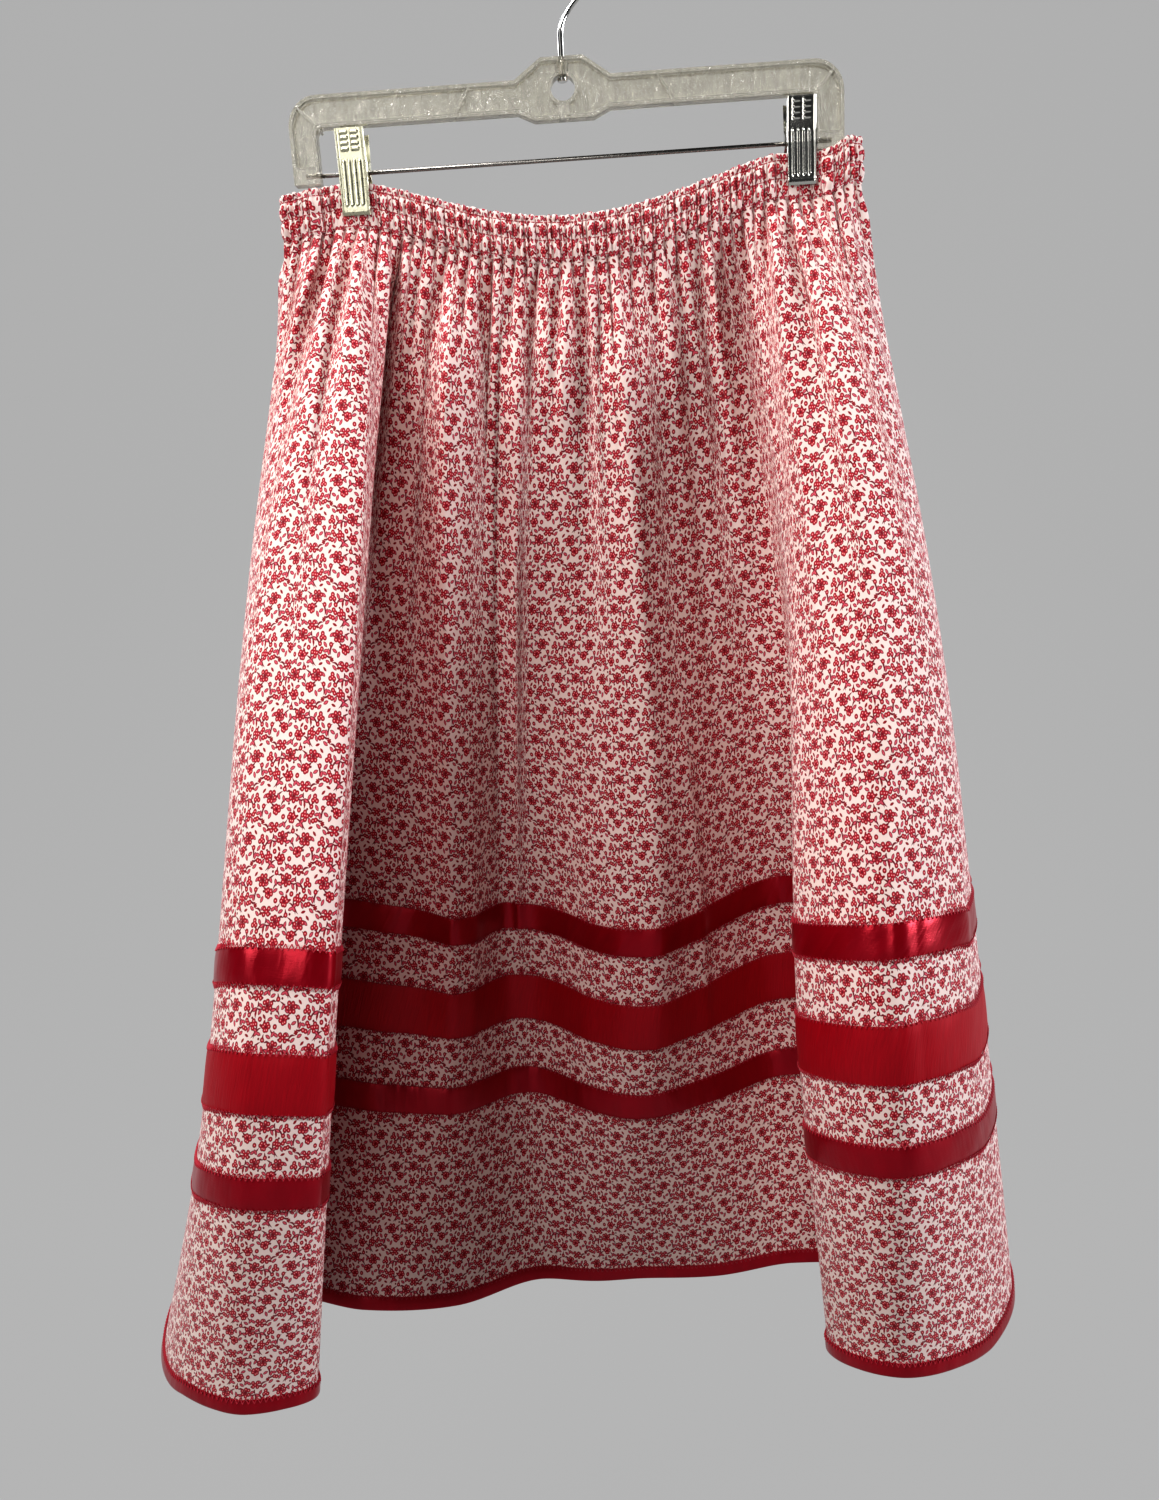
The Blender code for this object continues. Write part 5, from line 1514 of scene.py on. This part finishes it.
def make_hook():
    chrome = shared("chromed_wire", make_chrome, "D8D8D6", 0.12)
    bend = arc((0.0, -HOOK_BEND), HOOK_BEND + HOOK_WIRE, *HOOK_TURN, 60)
    foot, pull, start = (np.array(p) for p in (*HOOK_NECK, bend[0]))
    rise = [tuple((1 - t) ** 2 * foot + 2 * t * (1 - t) * pull + t * t * start)
            for t in np.linspace(0, 1, 16)[:-1]]
    stem = [(0.0, RING_INNER - HOOK_HEAD_UPS[2] - RING_DOWN), (0.0, HOOK_STEM_END)]
    flat = stem + rise + bend
    path = tilted([(x, 0.0, up) for x, up in flat])
    radii = np.full(len(flat), HOOK_WIRE)
    radii[-2:] = HOOK_WIRE * np.array(HOOK_TIP)
    hook = face_out(make_piece("chromed_hook", *rod_points(path, radii, 20), chrome))
    head = from_ring([(0, RING_INNER - up) for up in HOOK_HEAD_UPS], 0)
    button = face_out(make_piece("hook_head", *rod_points(
        head, HOOK_HEAD * np.array([0.8, 1.0, 1.0, 0.85]), 24), chrome))
    set_piece(button, "chrome_wire")
    set_piece(hook, "chrome_wire", "hanger_hook")


def make_rod():
    """The drawn steel rod keeps its CAD shape, but round instead of faceted."""
    steel = shared("drawn_steel", make_chrome, "8E8C88", 0.26)
    inner = ROD_HALF - ROD_CHAMFER
    ends = (-ROD_HALF, -inner, inner, ROD_HALF)
    path = from_ring([(x, -ROD_BELOW_RING) for x in ends], 0)
    radii = ROD_RADIUS * np.array([ROD_END, 1.0, 1.0, ROD_END])
    rod = face_out(make_piece("steel_rod", *rod_points(path, radii, 24), steel))
    set_piece(rod, "steel_rod", "clip_rod")


def pressed(x, up, rib):
    """How far the clip's face stands out at a place: grip ribs, flutes and lip."""
    half = CLIP_WIDTH / 2
    ribs = np.zeros(np.broadcast(x, up).shape)
    for height in GRIP_RIBS_UP:
        for middle in GRIP_RIBS_ACROSS:
            bar = np.clip(1 - (np.abs(x - middle) / GRIP_RIB_HALF) ** 6, 0, 1)
            ribs = ribs + bar * np.exp(-((up - height) / PRESSED_WIDE) ** 2)
    flutes = np.zeros(ribs.shape)
    window = eased(up, FLUTE_STARTS) * (1 - eased(up, FLUTE_ENDS))
    for middle in FLUTES_ACROSS:
        flutes = flutes + np.exp(-((x - middle) / PRESSED_WIDE) ** 2) * window
    border = eased(np.abs(x), (half - 1.6, half - 0.9))
    lip = np.exp(-((up - LIP_UP) / LIP_WIDE) ** 2)
    return rib * (ribs + 1.1 * flutes + 0.5 * border + 0.8 * lip)


def make_clips():
    """Pressed steel clip plates with their turned-in sides, and the coiled springs."""
    chrome = shared("chromed_sheet", make_chrome, "D2D2CC", 0.13)
    nickel = shared("nickeled_sheet", make_chrome, "C9C8B2", 0.3)
    rib = bpy.context.scene.skirt_hanger.rib / MM
    half = CLIP_WIDTH / 2
    rod = -ROD_BELOW_RING - RING_DOWN
    stations = np.array(CLIP_STATIONS[::-1])
    ups = np.linspace(stations[0, 0], stations[-1, 0], CLIP_ROWS)
    face, ear = (np.interp(ups, stations[:, 0], stations[:, k]) for k in (1, 2))
    across = np.linspace(-half + 0.5, half - 0.5, CLIP_COLUMNS)
    turns = np.linspace(0, 2 * math.pi * SPRING_COILS, SPRING_COILS * 20)
    middle = SPRING_RADIUS - SPRING_WIRE
    coil_end = SPRING_HALF - SPRING_WIRE
    along = np.linspace(-coil_end, coil_end, len(turns))
    for label, at, metal in (("left", LEFT_CLIP_AT, nickel),
                             ("right", RIGHT_CLIP_AT, chrome)):
        for side, word in ((-1, "front"), (1, "back")):
            rows = []
            for up, depth, reach in zip(ups, face, ear):
                relief = pressed(across, up, rib) - 0.25
                outer = [(x, depth + r) for x, r in zip(across, relief)]
                turn_left = [(-half, depth - reach)]
                turn_left += [(-half + side_in, depth - back) for side_in, back in CLIP_EDGE]
                turn_right = [(-x, d) for x, d in reversed(turn_left)]
                inner = [(half - CLIP_SHEET, depth - reach),
                         (half - CLIP_SHEET, depth - CLIP_CORNER)]
                inner += [(x, depth + r - CLIP_SHEET)
                          for x, r in zip(across[-4:2:-1], relief[-4:2:-1])]
                inner += [(-half + CLIP_SHEET, depth - CLIP_CORNER),
                          (-half + CLIP_SHEET, depth - reach)]
                rows.append([(at + x, side * d, rod + up)
                             for x, d in turn_left + outer + turn_right + inner])
            plate = face_out(make_piece(f"{label}_clip_{word}_plate",
                                        tilted(np.array(rows).reshape(-1, 3)),
                                        ring_faces(len(rows), len(rows[0])), metal))
            plate.data.set_sharp_from_angle(angle=math.radians(50))
            set_piece(plate, "chrome_sheet", f"{label}_clip_{word}")
        path = np.stack([at + along, middle * np.cos(turns),
                         rod + middle * np.sin(turns)], axis=1)
        set_piece(tube(f"{label}_clip_coil", tilted(path), SPRING_WIRE, 8, chrome),
                  "chrome_sheet", f"{label}_clip_spring")


def tube(name, path, radius, sides, material):
    """Round wire along any path, its section carried along without twist."""
    ahead = unit(np.gradient(path, axis=0))
    side = np.cross(ahead[0], [1.0, 0.3, 0.2])
    turns = np.arange(sides) * 2 * math.pi / sides
    rows = []
    for point, way in zip(path, ahead):
        side = side - way * (side @ way)
        side = side / np.linalg.norm(side)
        up = np.cross(way, side)
        rows.append(point + radius * (np.cos(turns)[:, None] * side
                                      + np.sin(turns)[:, None] * up))
    return face_out(make_piece(name, np.concatenate(rows), ring_faces(len(path), sides),
                               material))


# ---- the stage ---------------------------------------------------------------------
def area_light(name, place, aim, size, power, hex_rgb):
    light = bpy.data.lights.new(name, "AREA")
    light.shape = "RECTANGLE"
    light.size, light.size_y = size
    light.energy = power
    light.color = linear(hex_rgb)[:3]
    thing = bpy.data.objects.new(name, light)
    thing.location = place
    thing.rotation_euler = (Vector(aim) - Vector(place)).to_track_quat("-Z", "Y").to_euler()
    bpy.context.scene.collection.objects.link(thing)
    return thing


def direction(turn, up):
    """Unit vector at a turn from the front towards +x and an angle up, in degrees."""
    turn, up = math.radians(turn), math.radians(up)
    return Vector((math.sin(turn) * math.cos(up), -math.cos(turn) * math.cos(up),
                   math.sin(up)))


def stage_piece(name, lines, hidden_from):
    """Paper stretched between the first and second places of each line, in metres."""
    faces = [(2 * k, 2 * k + 1, 2 * k + 3, 2 * k + 2) for k in range(len(lines) - 1)]
    paper = make_piece(name, np.array(lines).reshape(-1, 3) / MM, faces,
                       shared("backdrop_paper", make_paper), sharp=30.0)
    for kind in hidden_from:
        setattr(paper, "visible_" + kind, False)


def make_stage():
    settings = bpy.context.scene.skirt_stage
    scene = bpy.context.scene
    floor = -settings.drop
    side = [(-3.0, floor)]
    side += [(0.9 + COVE * math.sin(a), floor + COVE - COVE * math.cos(a))
             for a in np.radians(np.linspace(0, 90, 24))]
    side += [(2.0, ROOM_TOP)]
    stage_piece("backdrop", [[(x, y, z) for x in (-ROOM_HALF, ROOM_HALF)] for y, z in side],
                ("diffuse",))
    # Three plain walls close the studio for views from the side and from behind.
    corners = ((-ROOM_HALF, 2), (-ROOM_HALF, -3), (ROOM_HALF, -3), (ROOM_HALF, 2))
    stage_piece("studio_walls", [[(x, y, z) for z in (floor, ROOM_TOP)] for x, y in corners],
                ("diffuse", "glossy", "transmission"))
    for name, turn, up, size, setting, share, hex_rgb in WINDOWS:
        window = area_light(name, AIM + WINDOW_AWAY * direction(turn, up), AIM, (size, size),
                            getattr(settings, setting) * share, hex_rgb)
        window.visible_camera = False
        window.visible_transmission = not name.startswith("back")
    card = area_light("front_card", Vector(CARD_PLACE), AIM, CARD_SIZE, settings.card,
                      WARM_WHITE)
    card.visible_diffuse = False
    world = bpy.data.worlds.new("studio")
    world.use_nodes = True
    ground = world.node_tree.nodes["Background"]
    ground.inputs["Color"].default_value = linear("E4E6EA")
    ground.inputs["Strength"].default_value = ROOM_LIGHT
    scene.world = world
    scene.view_settings.view_transform = "Standard"
    scene.view_settings.look = "High Contrast"

    camera = bpy.data.cameras.new("camera")
    camera.lens = CAMERA_LENS
    camera.sensor_width = 36.0
    camera.clip_start = 0.05
    turn, pitch, roll = CAMERA_TURN, CAMERA_PITCH, math.radians(CAMERA_ROLL)
    ahead = -direction(turn, pitch)
    right = Vector((math.cos(math.radians(turn)), math.sin(math.radians(turn)), 0.0))
    up = right.cross(ahead)
    level_right = right * math.cos(roll) - up * math.sin(roll)
    level_up = right * math.sin(roll) + up * math.cos(roll)
    basis = Matrix((level_right, level_up, -ahead)).transposed().to_4x4()
    view = bpy.data.objects.new("camera", camera)
    view.matrix_world = Matrix.Translation(CAMERA_PLACE) @ basis
    scene.collection.objects.link(view)
    scene.camera = view


# ---- operators ---------------------------------------------------------------------
class SKIRT_OT_stage(bpy.types.Operator):
    """Set the paper backdrop, the soft lights and the camera"""
    bl_idname = "skirt.stage"
    bl_label = "Stage"

    def execute(self, context):
        make_stage()
        return {"FINISHED"}


class SKIRT_OT_panels(bpy.types.Operator):
    """Hang the front and back panels of printed calico in their folds"""
    bl_idname = "skirt.panels"
    bl_label = "Calico panels"

    def execute(self, context):
        make_panels()
        return {"FINISHED"}


class SKIRT_OT_casing(bpy.types.Operator):
    """Gather the waist casing over its elastic"""
    bl_idname = "skirt.casing"
    bl_label = "Waist casing"

    def execute(self, context):
        make_casing()
        return {"FINISHED"}


class SKIRT_OT_ribbons(bpy.types.Operator):
    """Lay the satin and taffeta ribbons and bind the hem"""
    bl_idname = "skirt.ribbons"
    bl_label = "Ribbons and binding"

    def execute(self, context):
        make_ribbons()
        make_bindings()
        return {"FINISHED"}


class SKIRT_OT_sewing(bpy.types.Operator):
    """Sew the zigzag and straight stitches"""
    bl_idname = "skirt.sewing"
    bl_label = "Sewing"

    def execute(self, context):
        make_sewing()
        return {"FINISHED"}


class SKIRT_OT_hanger(bpy.types.Operator):
    """Mould the clear hanger and fit its hook and rod"""
    bl_idname = "skirt.hanger"
    bl_label = "Clear hanger"

    def execute(self, context):
        make_frame()
        make_hook()
        make_rod()
        return {"FINISHED"}


class SKIRT_OT_clips(bpy.types.Operator):
    """Press the two chromed clips and coil their springs"""
    bl_idname = "skirt.clips"
    bl_label = "Clips"

    def execute(self, context):
        make_clips()
        return {"FINISHED"}


class SKIRT_PT_panel(bpy.types.Panel):
    bl_idname = "SKIRT_PT_panel"
    bl_label = "Ribbon skirt"
    bl_space_type = "VIEW_3D"
    bl_region_type = "UI"
    bl_category = "Ribbon skirt"

    def draw(self, context):
        for name, group in SETTINGS.items():
            box = self.layout.box()
            box.label(text=group.__name__.replace("Settings", ""))
            for key in group.__annotations__:
                box.prop(getattr(context.scene, name), key)
        for operator in OPERATORS:
            self.layout.operator(operator.bl_idname)


OPERATORS = (SKIRT_OT_stage, SKIRT_OT_panels, SKIRT_OT_casing, SKIRT_OT_ribbons,
             SKIRT_OT_sewing, SKIRT_OT_hanger, SKIRT_OT_clips)


def register():
    for group in (*SETTINGS.values(), *OPERATORS, SKIRT_PT_panel):
        bpy.utils.register_class(group)
    for name, group in SETTINGS.items():
        setattr(bpy.types.Scene, name, PointerProperty(type=group))


def unregister():
    for name in SETTINGS:
        delattr(bpy.types.Scene, name)
    for group in reversed((*SETTINGS.values(), *OPERATORS, SKIRT_PT_panel)):
        bpy.utils.unregister_class(group)


def main():
    register()
    for operator in OPERATORS:
        group, name = operator.bl_idname.split(".")
        getattr(getattr(bpy.ops, group), name)()
    declare_sheets()


if __name__ == "__main__":
    main()
